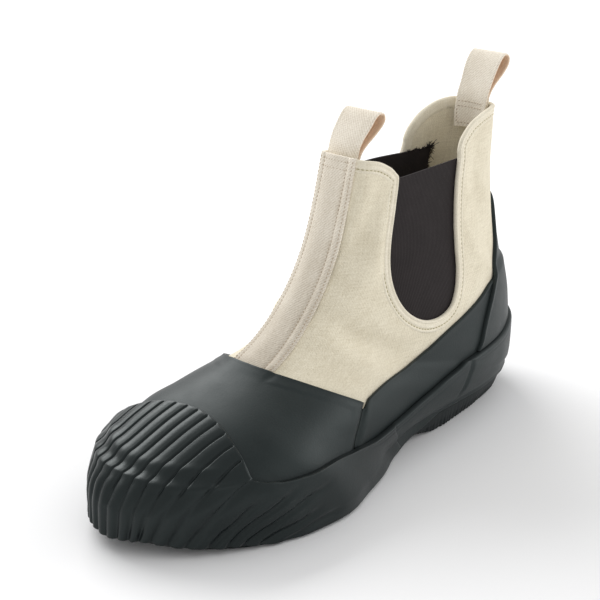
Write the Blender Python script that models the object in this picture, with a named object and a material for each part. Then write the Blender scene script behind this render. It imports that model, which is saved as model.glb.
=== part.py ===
"""Chelsea rain boot for the left foot: a canvas upper on a vulcanised rubber foot.

The last is a fan of section planes. Each plane stands square to the XZ plane and runs from a point
on the front line (collar, instep, vamp, toe) to a point on the back line (collar, heel, sole). Every
piece is a patch on that one skin, raised or sunk by its own allowance and given its own thickness.

Millimetres in the tables, metres in the scene. +X is towards the toe, +Y the outer side, +Z up.
"""

import math

import bmesh
import bpy
import numpy as np

MM = 0.001
TINY = 1e-6

# Allowances measured square to the canvas, outwards
CANVAS_WALL = 1.6
GAP = 0.35
RUBBER_SHEET = 1.5
RUBBER_IN, RUBBER_OUT = GAP + 0.1, GAP + RUBBER_SHEET
BAND_THICKNESS = 3.0
BAND_IN, BAND_OUT = RUBBER_OUT + GAP, RUBBER_OUT + GAP + BAND_THICKNESS
STRIP_OUT = GAP + 1.1
GORE_OUT = -(CANVAS_WALL + GAP)
GORE_IN = GORE_OUT - 1.3

# Near the sole line the bands' allowances are measured level
LEVEL_BELOW = 15.5

# Where the last's own axes sit in the part's frame, so that the origin is under the middle of the boot
FRAME_SHIFT = (8.15, -3.27, 0.0)

# Beyond the boot on every side, for the outlines that trim it
FAR_Y, FAR_BACK, FAR_FRONT, FAR_LOW, FAR_HIGH = 80.0, -175.0, 175.0, -10.0, 215.0
BEYOND = 25.0

# A line up the inside of the shaft and along the foot
SHAFT_MIDDLE_X, SHAFT_FOOT_Z = -75.0, 75.0
FOOT_MIDDLE_X, FOOT_MIDDLE_Z = (-110.0, 100.0), 28.0

# Foot of the last, seen from above: the line where upper and sole meet
# Columns: x, outer_y, inner_y
OUTLINE = (
    (-150.0, 0.0, 0.0),
    (-143.5, 14.5, -14.0),
    (-126.0, 26.5, -26.0),
    (-93.0, 31.5, -30.0),
    (-45.0, 31.5, -28.0),
    (-12.0, 36.0, -32.0),
    (18.0, 47.5, -39.5),
    (45.0, 54.5, -45.0),
    (70.0, 52.0, -46.5),
    (92.0, 43.5, -43.0),
    (109.0, 33.0, -36.0),
    (121.5, 22.0, -27.0),
    (130.5, 9.0, -17.0),
    (134.5, -4.0, -4.0),
)

# Section planes of the last, from above the collar to the tip of the toe
SECTION_COLUMNS = (
    "top_x", "top_z", "base_x", "base_z", "belly_half", "belly_at", "top_power", "base_power", "ridge_y",
)
SECTIONS = (
    (-27.0, 178.0, -136.0, 184.0, 17.0, 0.50, 6.0, 6.0, 0.0),
    (-20.5, 155.0, -134.5, 160.0, 17.5, 0.50, 6.0, 6.0, 0.0),
    (-14.0, 133.0, -135.0, 134.0, 20.0, 0.50, 4.2, 4.0, 0.0),
    (-6.0, 112.0, -137.0, 106.0, 25.0, 0.48, 3.0, 3.0, 0.0),
    (5.0, 94.0, -143.0, 80.0, 30.0, 0.45, 2.5, 2.5, 0.0),
    (19.0, 79.0, -149.0, 54.0, 34.5, 0.42, 2.3, 2.3, 0.0),
    (27.0, 73.0, -151.0, 34.0, 36.5, 0.42, 2.2, 2.2, 0.0),
    (34.0, 68.5, -150.0, 15.0, 38.0, 0.43, 2.2, 2.1, 0.0),
    (42.0, 64.0, -115.0, 14.6, 39.5, 0.45, 2.2, 2.0, 0.0),
    (50.0, 60.8, -70.0, 13.5, 41.0, 0.50, 2.2, 2.0, 0.0),
    (60.0, 58.0, -28.0, 11.5, 43.5, 0.50, 2.2, 2.0, 0.0),
    (72.0, 55.0, 10.0, 9.3, 46.0, 0.45, 2.3, 2.0, 0.0),
    (85.0, 51.3, 42.0, 8.5, 50.0, 0.35, 2.4, 2.0, -0.5),
    (97.0, 46.8, 70.0, 9.2, 49.3, 0.30, 2.35, 2.0, -1.0),
    (108.0, 41.4, 92.0, 10.5, 43.3, 0.30, 2.4, 2.0, -1.5),
    (117.0, 36.6, 109.0, 12.0, 34.5, 0.32, 2.5, 2.0, -2.0),
    (125.0, 31.5, 121.5, 13.0, 24.5, 0.35, 2.5, 2.0, -2.8),
    (131.5, 27.0, 130.5, 13.7, 13.0, 0.35, 2.5, 2.0, -3.6),
    (134.5, 21.5, 134.5, 14.0, 0.0, 0.35, 2.5, 2.0, -4.0),
)
HEEL_CORNER = 7
TOE_TIP = len(SECTIONS) - 1

# Side gores: the cut-out in the canvas, seen from the side
# Columns: z, front_x, back_x
GORE = (
    (141.0, -42.5, -95.0),
    (128.0, -38.5, -91.0),
    (112.0, -32.5, -86.5),
    (98.0, -29.5, -84.0),
    (86.0, -30.5, -82.5),
    (76.0, -35.5, -79.0),
    (69.0, -44.0, -73.5),
    (65.5, -54.0, -65.0),
)
GORE_UNDERLAP = 6.0

# Collar line of the front tab and of the back tab, from the gore to the pull loop
# Columns: x, z
FRONT_TAB = ((-41.0, 144.5), (-36.5, 148.5), (-28.0, 152.5), (-14.0, 155.0))
BACK_TAB = ((-95.5, 146.0), (-99.5, 152.0), (-110.0, 158.5), (-124.0, 161.8), (-140.0, 163.0))

# Edges of the rubber, seen from the side
THROAT_X = 46.5
NOTCH = (10.5, 43.0)
SEAM_FOOT_X = 27.0
FOXING_SEAM_X = -14.0
SEAM_GAP = 0.6
UNDERLAP = 8.0
BAND_ROWS = (0.0, 0.16, 0.3, 0.45, 0.72, 1.0)
# Columns of the edges: x, z
QUARTER_EDGE = (
    (-150.0, 77.0), (-113.0, 70.5), (-98.5, 65.7), (-80.0, 60.6), (-65.0, 57.0), (-47.0, 52.0),
    (-32.0, 48.6), (-12.0, 46.5), (10.5, 43.0),
)
FOXING_TOP = (
    (-150.0, 44.0), (-132.0, 41.5), (-117.0, 39.0), (-83.0, 37.3), (-55.0, 33.7), (-34.0, 30.1),
    (-11.0, 26.4), (7.0, 24.5), (28.0, 26.4), (50.0, 28.8), (70.0, 29.8), (80.0, 30.4), (87.0, 31.5),
    (93.5, 33.4),
)
FOXING_FOOT = (
    (-150.0, 11.2), (-64.0, 11.0), (-45.0, 6.6), (-36.0, 5.4), (-28.0, 4.2), (-18.0, 1.8), (-8.0, 1.0),
    (85.0, 1.0), (110.0, 3.0), (134.5, 8.0),
)
SOLE_FLOOR = (
    (-46.0, 4.2), (-36.0, 3.2), (-28.0, 2.0), (-17.0, 0.0), (80.0, 0.0), (110.0, 2.0), (134.5, 7.0),
)

# Counter at the back of the heel: how far its front edge lies from the rearmost line
# Columns: z, depth
COUNTER_EDGE = (
    (44.0, 56.0), (48.0, 52.5), (57.0, 45.5), (67.0, 35.5), (77.0, 24.5), (91.0, 13.0), (104.0, 6.8),
    (111.0, 2.8), (114.0, 0.3),
)

COUNTER_RAMP, COUNTER_RAMP_RUN = 26.0, 8.0

# Toe guard: ribs over the cap and on round both flanks
# Columns of the flank grooves: top_x, share of the full depth
GUARD_IN, GUARD_OUT = BAND_IN + 0.8, BAND_OUT + 0.25
CAP_REAR_X, CAP_REAR_Z = 93.5, 33.4
CAP_ARCH, CAP_NOSE_Z = 8.0, 30.8
CAP_RIBS = 13
CAP_TURN = 0.2
FLANK_GROOVES = ((30.0, 0.5), (60.0, 0.8), (80.0, 1.0))
GROOVE_HALF = 0.14
RIB_DEPTH = 1.2
# Two ridges across the ribs, at the nose and above it: height of each row of the cap
CAP_RIDGES = np.array([0.9, 0.0, 0.6, 0.0, 0.0, 0.0, 0.0])

# Lean of the ribs down the side wall, forward for each step down: at the toe, gained in 100 mm, at most
LEAN_TOE, LEAN_GAIN, LEAN_MOST = 0.3, 1.55, 3.3
LEAN_NEAR_TOE, LEAN_NEAR_SEAM = 25.0, 40.0

# Sole
HEEL_BREAST_X = -47.0
HEEL_TUCK = 5.0
HEEL_CENTRE_X, HEEL_RADIUS = -108.0, 39.0
HEEL_LIP, HEEL_LIP_RUN = 4.0, 12.0
SOLE_REACH = RUBBER_OUT + 0.2
INSOLE_THICKNESS = 4.0
INSOLE_CLEAR = 1.5
GROOVE_DEPTH, GROOVE_WIDTH = 2.2, 3.4
HEEL_GROOVES = (-138.0, -124.5, -111.0, -97.5, -84.0, -70.5, -57.0)
BALL_GROOVES = (-4.0, 8.0, 20.0, 32.0, 44.0, 56.0, 68.0, 80.0, 92.0)

# Webbing: the strip down the front, and the loops' paths seen from the side, outer end to inner end
STRIP_INNER_Y, STRIP_OUTER_Y = -13.0, 11.0
STRIP_TOP, STRIP_CLEAR = 154.6, 1.4
LOOP_HALF = 10.0
FRONT_LOOP_Y, BACK_LOOP_Y = -2.3, 1.0
TAPE_THICKNESS = 1.4
LOOP_BOW, LOOP_FREE_BOW, LOOP_FREE_Z, LOOP_FREE_RUN = 2.3, 0.2, 166.0, 10.0
FRONT_LOOP = (
    (-19.9, 143.5), (-23.4, 155.0), (-26.3, 161.0), (-30.0, 167.0), (-34.0, 172.0), (-37.8, 174.0),
    (-41.2, 172.8), (-41.4, 169.0), (-37.0, 163.5), (-31.0, 159.0), (-25.5, 154.0), (-22.0, 143.0),
)
BACK_LOOP = (
    (-131.7, 149.0), (-131.7, 163.5), (-133.6, 168.2), (-138.0, 172.5), (-144.0, 177.0), (-148.3, 181.8),
    (-148.3, 185.8), (-144.8, 187.4), (-141.0, 185.0), (-137.0, 179.5), (-133.2, 172.0), (-130.4, 166.0),
    (-129.8, 161.0), (-129.8, 148.0),
)


def slopes(knots, values):
    """Slopes of a smooth curve through the values that never overshoots them."""
    step = np.diff(knots)
    rise = np.diff(values, axis=0) / step.reshape(-1, *([1] * (values.ndim - 1)))
    inner = np.zeros_like(values)
    same = rise[1:] * rise[:-1] > 0
    total = np.where(same, rise[1:] + rise[:-1], 1.0)
    inner[1:-1] = np.where(same, 2.0 * rise[1:] * rise[:-1] / total, 0.0)
    inner[0], inner[-1] = rise[0], rise[-1]
    return inner


def smooth(knots, values):
    """A function that runs smoothly through the values at the knots."""
    knots, values = np.asarray(knots, float), np.asarray(values, float)
    tilt = slopes(knots, values)

    def at(where):
        where = np.clip(np.asarray(where, float), knots[0], knots[-1])
        i = np.clip(np.searchsorted(knots, where, side="right") - 1, 0, len(knots) - 2)
        step = knots[i + 1] - knots[i]
        t = (where - knots[i]) / step
        if values.ndim > 1:
            step, t = step[..., None], t[..., None]
        return (
            (1 + 2 * t) * (1 - t) ** 2 * values[i] + t * (1 - t) ** 2 * step * tilt[i]
            + t * t * (3 - 2 * t) * values[i + 1] + t * t * (t - 1) * step * tilt[i + 1]
        )

    return at


HEEL_X, TOE_X = OUTLINE[0][0], OUTLINE[-1][0]


def outline_turn(x):
    """Turn along the outline, 0 at the heel and pi at the toe, so that both ends close round."""
    share = np.clip((np.asarray(x, float) - HEEL_X) / (TOE_X - HEEL_X), 0.0, 1.0)
    return np.arccos(1.0 - 2.0 * share)


_outline = smooth(outline_turn([row[0] for row in OUTLINE]), [row[1:] for row in OUTLINE])
_section = smooth(np.arange(len(SECTIONS)), SECTIONS)


def outline(x):
    """Outer and inner y of the sole line at x."""
    pair = _outline(outline_turn(x))
    return pair[..., 0], pair[..., 1]


def skin(s, v, side):
    """Point of the last on section s, v of the way from its base to its top; side is +1 outer, -1 inner."""
    s, v, side = np.broadcast_arrays(np.asarray(s, float), np.asarray(v, float), np.asarray(side, float))
    row = dict(zip(SECTION_COLUMNS, np.moveaxis(_section(s), -1, 0)))
    outer_y, inner_y = outline(row["base_x"])
    on_sole = s > HEEL_CORNER
    base_half = np.where(on_sole, (outer_y - inner_y) / 2, 0.0)
    base_mid = np.where(on_sole, (outer_y + inner_y) / 2, 0.0)
    belly = np.maximum(row["belly_half"], base_half)
    power = row["base_power"]
    turned_under = 1 - (base_half / np.maximum(belly, TINY)) ** power
    low = np.clip(1 - v / row["belly_at"], 0, 1) ** power * turned_under
    high = np.clip((v - row["belly_at"]) / (1 - row["belly_at"]), 0, 1)
    crown = (1 - high ** row["top_power"]) ** (1 / row["top_power"])
    half = belly * (1 - low) ** (1 / power) * crown
    return np.stack(
        [
            row["base_x"] + v * (row["top_x"] - row["base_x"]),
            base_mid + v * (row["ridge_y"] - base_mid) + side * half,
            row["base_z"] + v * (row["top_z"] - row["base_z"]),
        ],
        axis=-1,
    )


def section_share(s, v_turn):
    """v for an even turn round the section: 0 at the base, 1 at the belly, 2 at the top."""
    row = dict(zip(SECTION_COLUMNS, np.moveaxis(_section(s), -1, 0)))
    quarter = math.pi / 2
    low = 1 - np.cos(np.clip(v_turn, 0, 1) * quarter) ** (2 / row["base_power"])
    high = np.sin(np.clip(v_turn - 1, 0, 1) * quarter) ** (2 / row["top_power"])
    return row["belly_at"] * low + (1 - row["belly_at"]) * high


def locate(x, z):
    """Section and share of the point of the side view at x, z."""
    x, z = np.broadcast_arrays(np.asarray(x, float), np.asarray(z, float))
    low, high = np.zeros(x.shape), np.full(x.shape, float(TOE_TIP))
    for _ in range(40):
        mid = (low + high) / 2
        top_x, top_z, base_x, base_z = np.moveaxis(_section(mid), -1, 0)[:4]
        behind = (top_x - base_x) * (z - base_z) - (top_z - base_z) * (x - base_x) > 0
        high, low = np.where(behind, mid, high), np.where(behind, low, mid)
    s = (low + high) / 2
    top_x, top_z, base_x, base_z = np.moveaxis(_section(s), -1, 0)[:4]
    run_x, run_z = top_x - base_x, top_z - base_z
    v = ((x - base_x) * run_x + (z - base_z) * run_z) / (run_x**2 + run_z**2)
    return s, np.clip(v, 0.0, 1.0)


_steps = np.linspace(0, TOE_TIP, 400)
_front_line = _section(_steps)[:, :2]
_back_line = _section(np.linspace(0, HEEL_CORNER, 200))[:, 2:4]
_sole_line = _section(np.linspace(HEEL_CORNER, TOE_TIP, 200))[:, 2:4]


def back_x(z):
    """Rearmost x of the last at height z."""
    return np.interp(z, _back_line[::-1, 1], _back_line[::-1, 0])


def front_x(z):
    """Foremost x of the last at height z."""
    return np.interp(z, _front_line[::-1, 1], _front_line[::-1, 0])


def sole_z(x):
    """Height of the sole line at x."""
    return np.interp(x, _sole_line[:, 0], _sole_line[:, 1])


def tucked(x, y, z):
    """A point of the sole's wall, drawn in under the heel the lower it lies."""
    low = np.clip((sole_z(x) - z) / sole_z(x), 0, 1)
    draw = low * HEEL_TUCK / HEEL_RADIUS * np.clip((HEEL_CENTRE_X + HEEL_RADIUS - x) / HEEL_RADIUS, 0, 1)
    return np.stack([x - np.minimum(x - HEEL_CENTRE_X, 0) * draw, y * (1 - draw), z], axis=-1)


def wall(x, z, side):
    """Point of the last above x, z of the side view; under the sole line the wall drops straight down."""
    x, z = np.broadcast_arrays(np.asarray(x, float), np.asarray(z, float))
    outer_y, inner_y = outline(x)
    under = tucked(x, np.where(side > 0, outer_y, inner_y), z)
    return np.where((z < sole_z(x))[..., None], under, skin(*locate(x, z), side))


def grid_faces(rows, columns):
    """Quads of a grid of points, counted along the rows."""
    i, j = np.meshgrid(np.arange(rows - 1), np.arange(columns - 1), indexing="ij")
    corner = (i * columns + j).ravel()
    return np.stack([corner, corner + columns, corner + columns + 1, corner + 1], axis=1)


def split_short(points, faces):
    """The quads as triangles, each split along its shorter diagonal."""
    halves = []
    for a, b, c, d in faces:
        if np.linalg.norm(points[a] - points[c]) < np.linalg.norm(points[b] - points[d]):
            halves += [(a, b, c), (a, c, d)]
        else:
            halves += [(a, b, d), (b, c, d)]
    return halves


def welded(points, faces, reach=0.02):
    """Merges points that fall together and drops the faces that vanish."""
    _, first, index = np.unique(np.round(points / reach), axis=0, return_index=True, return_inverse=True)
    order = np.argsort(first)
    rank = np.empty_like(order)
    rank[order] = np.arange(len(order))
    index = rank[index.ravel()]
    kept = []
    for face in faces:
        ring = [int(index[k]) for k in face]
        ring = [a for n, a in enumerate(ring) if a != ring[n - 1]]
        if len(set(ring)) == len(ring) > 2:
            kept.append(ring)
    return points[first[order]], kept, index


def vertex_normals(points, faces):
    """Unit normals of a mesh, weighted by the faces round each point."""
    total = np.zeros_like(points)
    for face in faces:
        ring = points[face]
        normal = np.cross(ring[2] - ring[0], ring[-1] - ring[1])
        total[face] += normal
    return total / np.maximum(np.linalg.norm(total, axis=1), 1e-9)[:, None]


def thick_shell(points, faces, inside, outside, level_below=0.0):
    """Closed shell over a sheet of points, between two allowances: one number, or one for each point.

    The allowances turn level towards the height level_below, and stay level under it.
    """
    points, faces, index = welded(points, faces)
    faces = facing_out(points, faces)
    normal = vertex_normals(points, faces)
    if level_below:
        normal[:, 2] *= np.clip((points[:, 2] - level_below) / level_below, 0, 1)
        normal /= np.linalg.norm(normal, axis=1)[:, None]

    def spread(allowance):
        each = np.zeros(len(points))
        each[index] = allowance
        return points + normal * each[:, None]

    count = len(points)
    ring_edges = {}
    for face in faces:
        for a, b in zip(face, face[1:] + face[:1]):
            ring_edges[(a, b)] = True
    sides = [
        [b, a, a + count, b + count] for a, b in ring_edges if (b, a) not in ring_edges
    ]
    under = [[k + count for k in reversed(face)] for face in faces]
    return np.vstack([spread(outside), spread(inside)]), faces + under + sides


def facing_out(points, faces):
    """The faces, turned if need be so that they look away from the middle of the boot."""
    shaft = points[:, 2] > SHAFT_FOOT_Z
    along = np.where(shaft, SHAFT_MIDDLE_X, np.clip(points[:, 0], *FOOT_MIDDLE_X))
    core = np.stack([along, np.zeros(len(points)), np.where(shaft, points[:, 2], FOOT_MIDDLE_Z)], axis=1)
    total = (vertex_normals(points, faces) * (points - core)).sum()
    return faces if total > 0 else [face[::-1] for face in faces]


def solid(name, points, faces, colour, roughness):
    """A named object with its own material, from points in the last's frame."""
    mesh = bpy.data.meshes.new(name)
    placed = (np.asarray(points) + np.array(FRAME_SHIFT)) * MM
    mesh.from_pydata(placed.tolist(), [], [list(map(int, face)) for face in faces])
    build = bmesh.new()
    build.from_mesh(mesh)
    bmesh.ops.recalc_face_normals(build, faces=build.faces)
    build.to_mesh(mesh)
    build.free()
    mesh.shade_smooth()
    mesh.set_sharp_from_angle(angle=math.radians(40))
    material = bpy.data.materials.new(name)
    material.use_nodes = True
    shader = material.node_tree.nodes["Principled BSDF"]
    shader.inputs["Base Color"].default_value = (*colour, 1.0)
    shader.inputs["Roughness"].default_value = roughness
    mesh.materials.append(material)
    piece = bpy.data.objects.new(name, mesh)
    bpy.context.scene.collection.objects.link(piece)
    return piece


def shell(name, sheet, inside, outside, colour, roughness, level_below=0.0):
    """A solid sheet of material over a grid of points of the skin."""
    faces = grid_faces(*sheet.shape[:2])
    body = thick_shell(sheet.reshape(-1, 3), faces, inside, outside, level_below)
    return solid(name, *body, colour, roughness)


def trim(piece, cutter, operation):
    """Cuts the piece with the cutter: DIFFERENCE takes the cutter's volume away, INTERSECT keeps it."""
    cutter.hide_render = True
    cutter.display_type = "WIRE"
    cut = piece.modifiers.new("trim", "BOOLEAN")
    cut.operation = operation
    cut.object = cutter


CANVAS = (0.62, 0.55, 0.42)
TAPE = (0.78, 0.70, 0.58)
RUBBER = (0.035, 0.042, 0.045)
ELASTIC = (0.028, 0.024, 0.024)
INSOLE = (0.55, 0.5, 0.42)


def prism(name, ring, low_y, high_y):
    """A cutter with the side-view outline ring, between two values of y."""
    count = len(ring)
    points = [(x, y, z) for y in (low_y, high_y) for x, z in ring]
    faces = [list(range(count)), list(range(2 * count - 1, count - 1, -1))]
    faces += [[k, k + count, (k + 1) % count + count, (k + 1) % count] for k in range(count)]
    return solid(name, points, faces, CANVAS, 0.9)


def share_at_width(s, half):
    """Share of section s, above its belly, where it is half wide each way."""
    row = dict(zip(SECTION_COLUMNS, np.moveaxis(_section(s), -1, 0)))
    narrow = np.clip(np.abs(half) / np.maximum(row["belly_half"], TINY), 0, 1) ** row["top_power"]
    return row["belly_at"] + (1 - row["belly_at"]) * (1 - narrow) ** (1 / row["top_power"])


def edge(rows):
    """Height along an edge that is given as x, z rows."""
    return smooth([x for x, _ in rows], [z for _, z in rows])


def solve(function, low, high):
    """Where a function that starts positive and falls crosses zero."""
    for _ in range(40):
        mid = (low + high) / 2
        low, high = (mid, high) if function(mid) > 0 else (low, mid)
    return (low + high) / 2


quarter_top, foxing_top, foxing_foot = edge(QUARTER_EDGE), edge(FOXING_TOP), edge(FOXING_FOOT)
sole_floor = edge(SOLE_FLOOR)
counter_depth = smooth([z for z, _ in COUNTER_EDGE], [depth for _, depth in COUNTER_EDGE])

SHAFT_STATIONS, HEEL_STATIONS = np.linspace(0, HEEL_CORNER, 12), HEEL_CORNER + np.array([0.08, 0.22, 0.4])
FOOT_STATIONS, TOE_STATIONS = np.linspace(HEEL_CORNER + 0.7, 14, 10), np.linspace(14.6, TOE_TIP, 7)
UPPER_STATIONS = np.concatenate([SHAFT_STATIONS, HEEL_STATIONS, FOOT_STATIONS, TOE_STATIONS])
PATCH_STATIONS = np.concatenate([SHAFT_STATIONS, FOOT_STATIONS, TOE_STATIONS])
TURNS = np.concatenate([np.linspace(0, 1, 6), np.linspace(1, 2, 7)[1:]])
HEEL_MERGE = 0.3


def upper_sheet(stations):
    """The last's whole skin as a grid: inner base, over the top, to the outer base.

    The stations close round the heel run into the corner's own section higher up.
    """
    rows = []
    for station in stations:
        merged = np.isin(station, HEEL_STATIONS) & (TURNS > HEEL_MERGE)
        s = np.where(merged, HEEL_CORNER, station)
        v = section_share(s, TURNS)
        rows.append(np.vstack([skin(s, v, -1), skin(s[-2::-1], v[-2::-1], 1)]))
    return np.array(rows)


def collar_and_gore_ring():
    """Side view of what is cut out of the shaft: all above the collar, and both gores."""
    front = [(x, z) for z, x, _ in GORE]
    back = [(x, z) for z, _, x in GORE[::-1]]
    behind, ahead = BACK_TAB[-1][0] - BEYOND, FRONT_TAB[-1][0] + BEYOND
    high = [(behind, BACK_TAB[-1][1]), (behind, FAR_HIGH), (ahead, FAR_HIGH), (ahead, FRONT_TAB[-1][1])]
    return [*FRONT_TAB[::-1], *front, *back, *BACK_TAB, *high]


def make_upper():
    upper = shell("upper", upper_sheet(UPPER_STATIONS), -CANVAS_WALL, 0.0, CANVAS, 0.9)
    trim(upper, prism("collar_cutter", collar_and_gore_ring(), -FAR_Y, FAR_Y), "DIFFERENCE")


def patch(name, ring, inside, outside, colour, roughness, y_range=(-FAR_Y, FAR_Y), stations=PATCH_STATIONS):
    """A sheet over the last, between two allowances, trimmed to an outline seen from the side."""
    piece = shell(name, upper_sheet(stations), inside, outside, colour, roughness)
    trim(piece, prism(name + "_outline", ring, *y_range), "INTERSECT")


def make_gores():
    """Elastic panels behind the canvas, cut larger than the openings all round."""
    drop = np.zeros(len(GORE))
    drop[-2:] = 0.5 * GORE_UNDERLAP, GORE_UNDERLAP
    front = [(x + GORE_UNDERLAP, z - low) for (z, x, _), low in zip(GORE, drop)]
    back = [(x - GORE_UNDERLAP, z - low) for (z, _, x), low in zip(GORE, drop)]
    ring = front + back[::-1]
    patch("gore_outer", ring, GORE_IN, GORE_OUT, ELASTIC, 0.8, (0.0, FAR_Y), SHAFT_STATIONS)
    patch("gore_inner", ring, GORE_IN, GORE_OUT, ELASTIC, 0.8, (-FAR_Y, 0.0), SHAFT_STATIONS)


def throat_line():
    """Ends of the throat, seen from the side: on the instep, and at the notch low on the side."""
    throat_z = _section(solve(lambda s: THROAT_X - _section(s)[0], 0, TOE_TIP))[1]
    return np.array([THROAT_X, throat_z]), np.array(NOTCH)


def make_front_strip():
    """Tape down the middle of the front, from the collar to the throat."""
    throat, notch = throat_line()
    down = (notch - throat) / np.linalg.norm(notch - throat)
    clear = throat + STRIP_CLEAR * np.array([down[1], -down[0]])
    behind, ahead = FRONT_TAB[0][0], FRONT_TAB[-1][0] + BEYOND
    foot = [clear - BEYOND * down, clear + BEYOND * down]
    ring = [*foot, (behind, GORE[0][0]), (behind, STRIP_TOP), (ahead, STRIP_TOP)]
    patch("front_strip", ring, GAP, STRIP_OUT, TAPE, 0.85, (STRIP_INNER_Y, STRIP_OUTER_Y))


def make_vamp():
    """Rubber sheet from the throat line forward, over the toe."""
    throat, notch = throat_line()
    foot = [(x, foxing_top(x) - UNDERLAP) for x in np.linspace(SEAM_FOOT_X, CAP_REAR_X, 6)]
    above = throat[1] + BEYOND
    ring = [(throat[0], above), throat, notch, *foot, (FAR_FRONT, foot[-1][1]), (FAR_FRONT, above)]
    patch("vamp_rubber", ring, RUBBER_IN, RUBBER_OUT, RUBBER, 0.45)


def edge_points(top, low_x, high_x, count):
    """Points along an edge, from the back of the heel forward."""
    return [(FAR_BACK, top(low_x)), *((x, top(x)) for x in np.linspace(low_x, high_x, count))]


def make_quarter():
    """Rubber mudguard strip from the vamp's seam round the heel."""
    top = edge_points(quarter_top, HEEL_X, NOTCH[0] - SEAM_GAP, 14)
    foot = edge_points(lambda x: foxing_top(x) - UNDERLAP, HEEL_X, SEAM_FOOT_X - SEAM_GAP, 10)
    ring = top + foot[::-1]
    patch("quarter_rubber", ring, RUBBER_IN, RUBBER_OUT, RUBBER, 0.45)


def make_counter():
    """Moulded counter up the back of the heel, over the quarter rubber and then over bare canvas."""
    heights = np.linspace(COUNTER_EDGE[0][0], COUNTER_EDGE[-1][0], 12)
    rows = [(back_x(z) + counter_depth(z), z) for z in heights]
    foot = edge_points(lambda x: foxing_top(x) + SEAM_GAP, HEEL_X, rows[0][0], 5)
    ring = [*foot, *rows, (FAR_BACK, rows[-1][1])]
    sheet = upper_sheet(PATCH_STATIONS)
    above_rubber = sheet[..., 2] - quarter_top(sheet[..., 0])
    over_rubber = np.clip((COUNTER_RAMP - above_rubber) / COUNTER_RAMP_RUN, 0, 1)
    seat = GAP + (RUBBER_OUT * over_rubber).ravel()
    patch("heel_counter", ring, seat, seat + RUBBER_SHEET, RUBBER, 0.45)


def make_rear_foxing():
    """Band round the heel, from its foot to its top; the columns crowd towards the back."""
    crowd = (1 - np.linspace(0, 1, 18)) ** 1.7
    rise = np.array(BAND_ROWS)[:, None]
    x = HEEL_X + crowd * (FOXING_SEAM_X - HEEL_X)
    for _ in range(6):
        z = foxing_foot(x) + (foxing_top(x) - foxing_foot(x)) * rise
        x = back_x(z) + (FOXING_SEAM_X - GAP - back_x(z)) * crowd
    sheet = np.concatenate([wall(x, z, 1), wall(x, z, -1)[:, -2::-1]], axis=1)
    shell("rear_foxing", sheet, GUARD_IN, BAND_OUT, RUBBER, 0.5, LEVEL_BELOW)


def level_reach(z, side):
    """Arc length from the toe round the level at height z, with the x of each step."""
    x = front_x(z) - 170.0 * np.linspace(0, 1, 90) ** 2
    ring = wall(x, np.full(x.shape, z), side)[:, :2]
    steps = np.linalg.norm(np.diff(ring, axis=0), axis=1)
    return np.concatenate([[0.0], np.cumsum(steps)]), x


def guard_side(x, z, side):
    """Points from x, z on the side wall down to the foot, leaning forward as the ribs do."""
    reach, level_x = level_reach(z, side)
    start = np.interp(-x, -level_x, reach)
    lean = min(LEAN_TOE + LEAN_GAIN * (start / 100.0) ** 2, LEAN_MOST)
    lean *= np.clip(start / LEAN_NEAR_TOE, 0, 1) * np.clip((x - FOXING_SEAM_X) / LEAN_NEAR_SEAM, 0, 1)
    points = []
    for down in np.linspace(0, 1, 5):
        low_z = z + (foxing_foot(x + lean * z) - z) * down
        reach, level_x = level_reach(low_z, side)
        along = np.interp(np.maximum(start - lean * (z - low_z), 0.0), reach, level_x)
        points.append(wall(along, low_z, side))
    return np.array(points)


def from_corners(rear_y):
    """0 at the cap's corners, 1 in its middle."""
    return np.maximum(1 - (rear_y / CAP_HALF) ** 2, 0.0)


def cap_line(rear_y):
    """Side and points of one line over the cap, from its nose to its rear edge at rear_y."""

    def at(s):
        row = dict(zip(SECTION_COLUMNS, _section(s)))
        base_mid = sum(outline(row["base_x"])) / 2
        x, share = row["top_x"], 1.0
        for _ in range(5):
            half = rear_y - CAP_TURN * (x - CAP_REAR_X) - base_mid - share * (row["ridge_y"] - base_mid)
            share = share_at_width(s, half)
            x = row["base_x"] + share * (row["top_x"] - row["base_x"])
        return skin(s, share, 1 if half > 0 else -1)

    nose_z = CAP_REAR_Z - (CAP_REAR_Z - CAP_NOSE_Z) * (1 - (rear_y / CAP_HALF) ** 6)
    rear_x = CAP_REAR_X - CAP_ARCH * from_corners(rear_y) ** 1.5
    rear = solve(lambda s: rear_x - at(s)[0], HEEL_CORNER + 2, TOE_TIP)
    nose = max(rear, solve(lambda s: at(s)[2] - nose_z, HEEL_CORNER + 2, TOE_TIP))
    points = np.array([at(nose + (rear - nose) * t) for t in np.linspace(0, 1, len(CAP_RIDGES)) ** 1.5])
    return (1 if points[0][1] > OUTLINE[-1][1] else -1), points


CAP_HALF = float(wall(CAP_REAR_X, CAP_REAR_Z, 1)[1])


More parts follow.
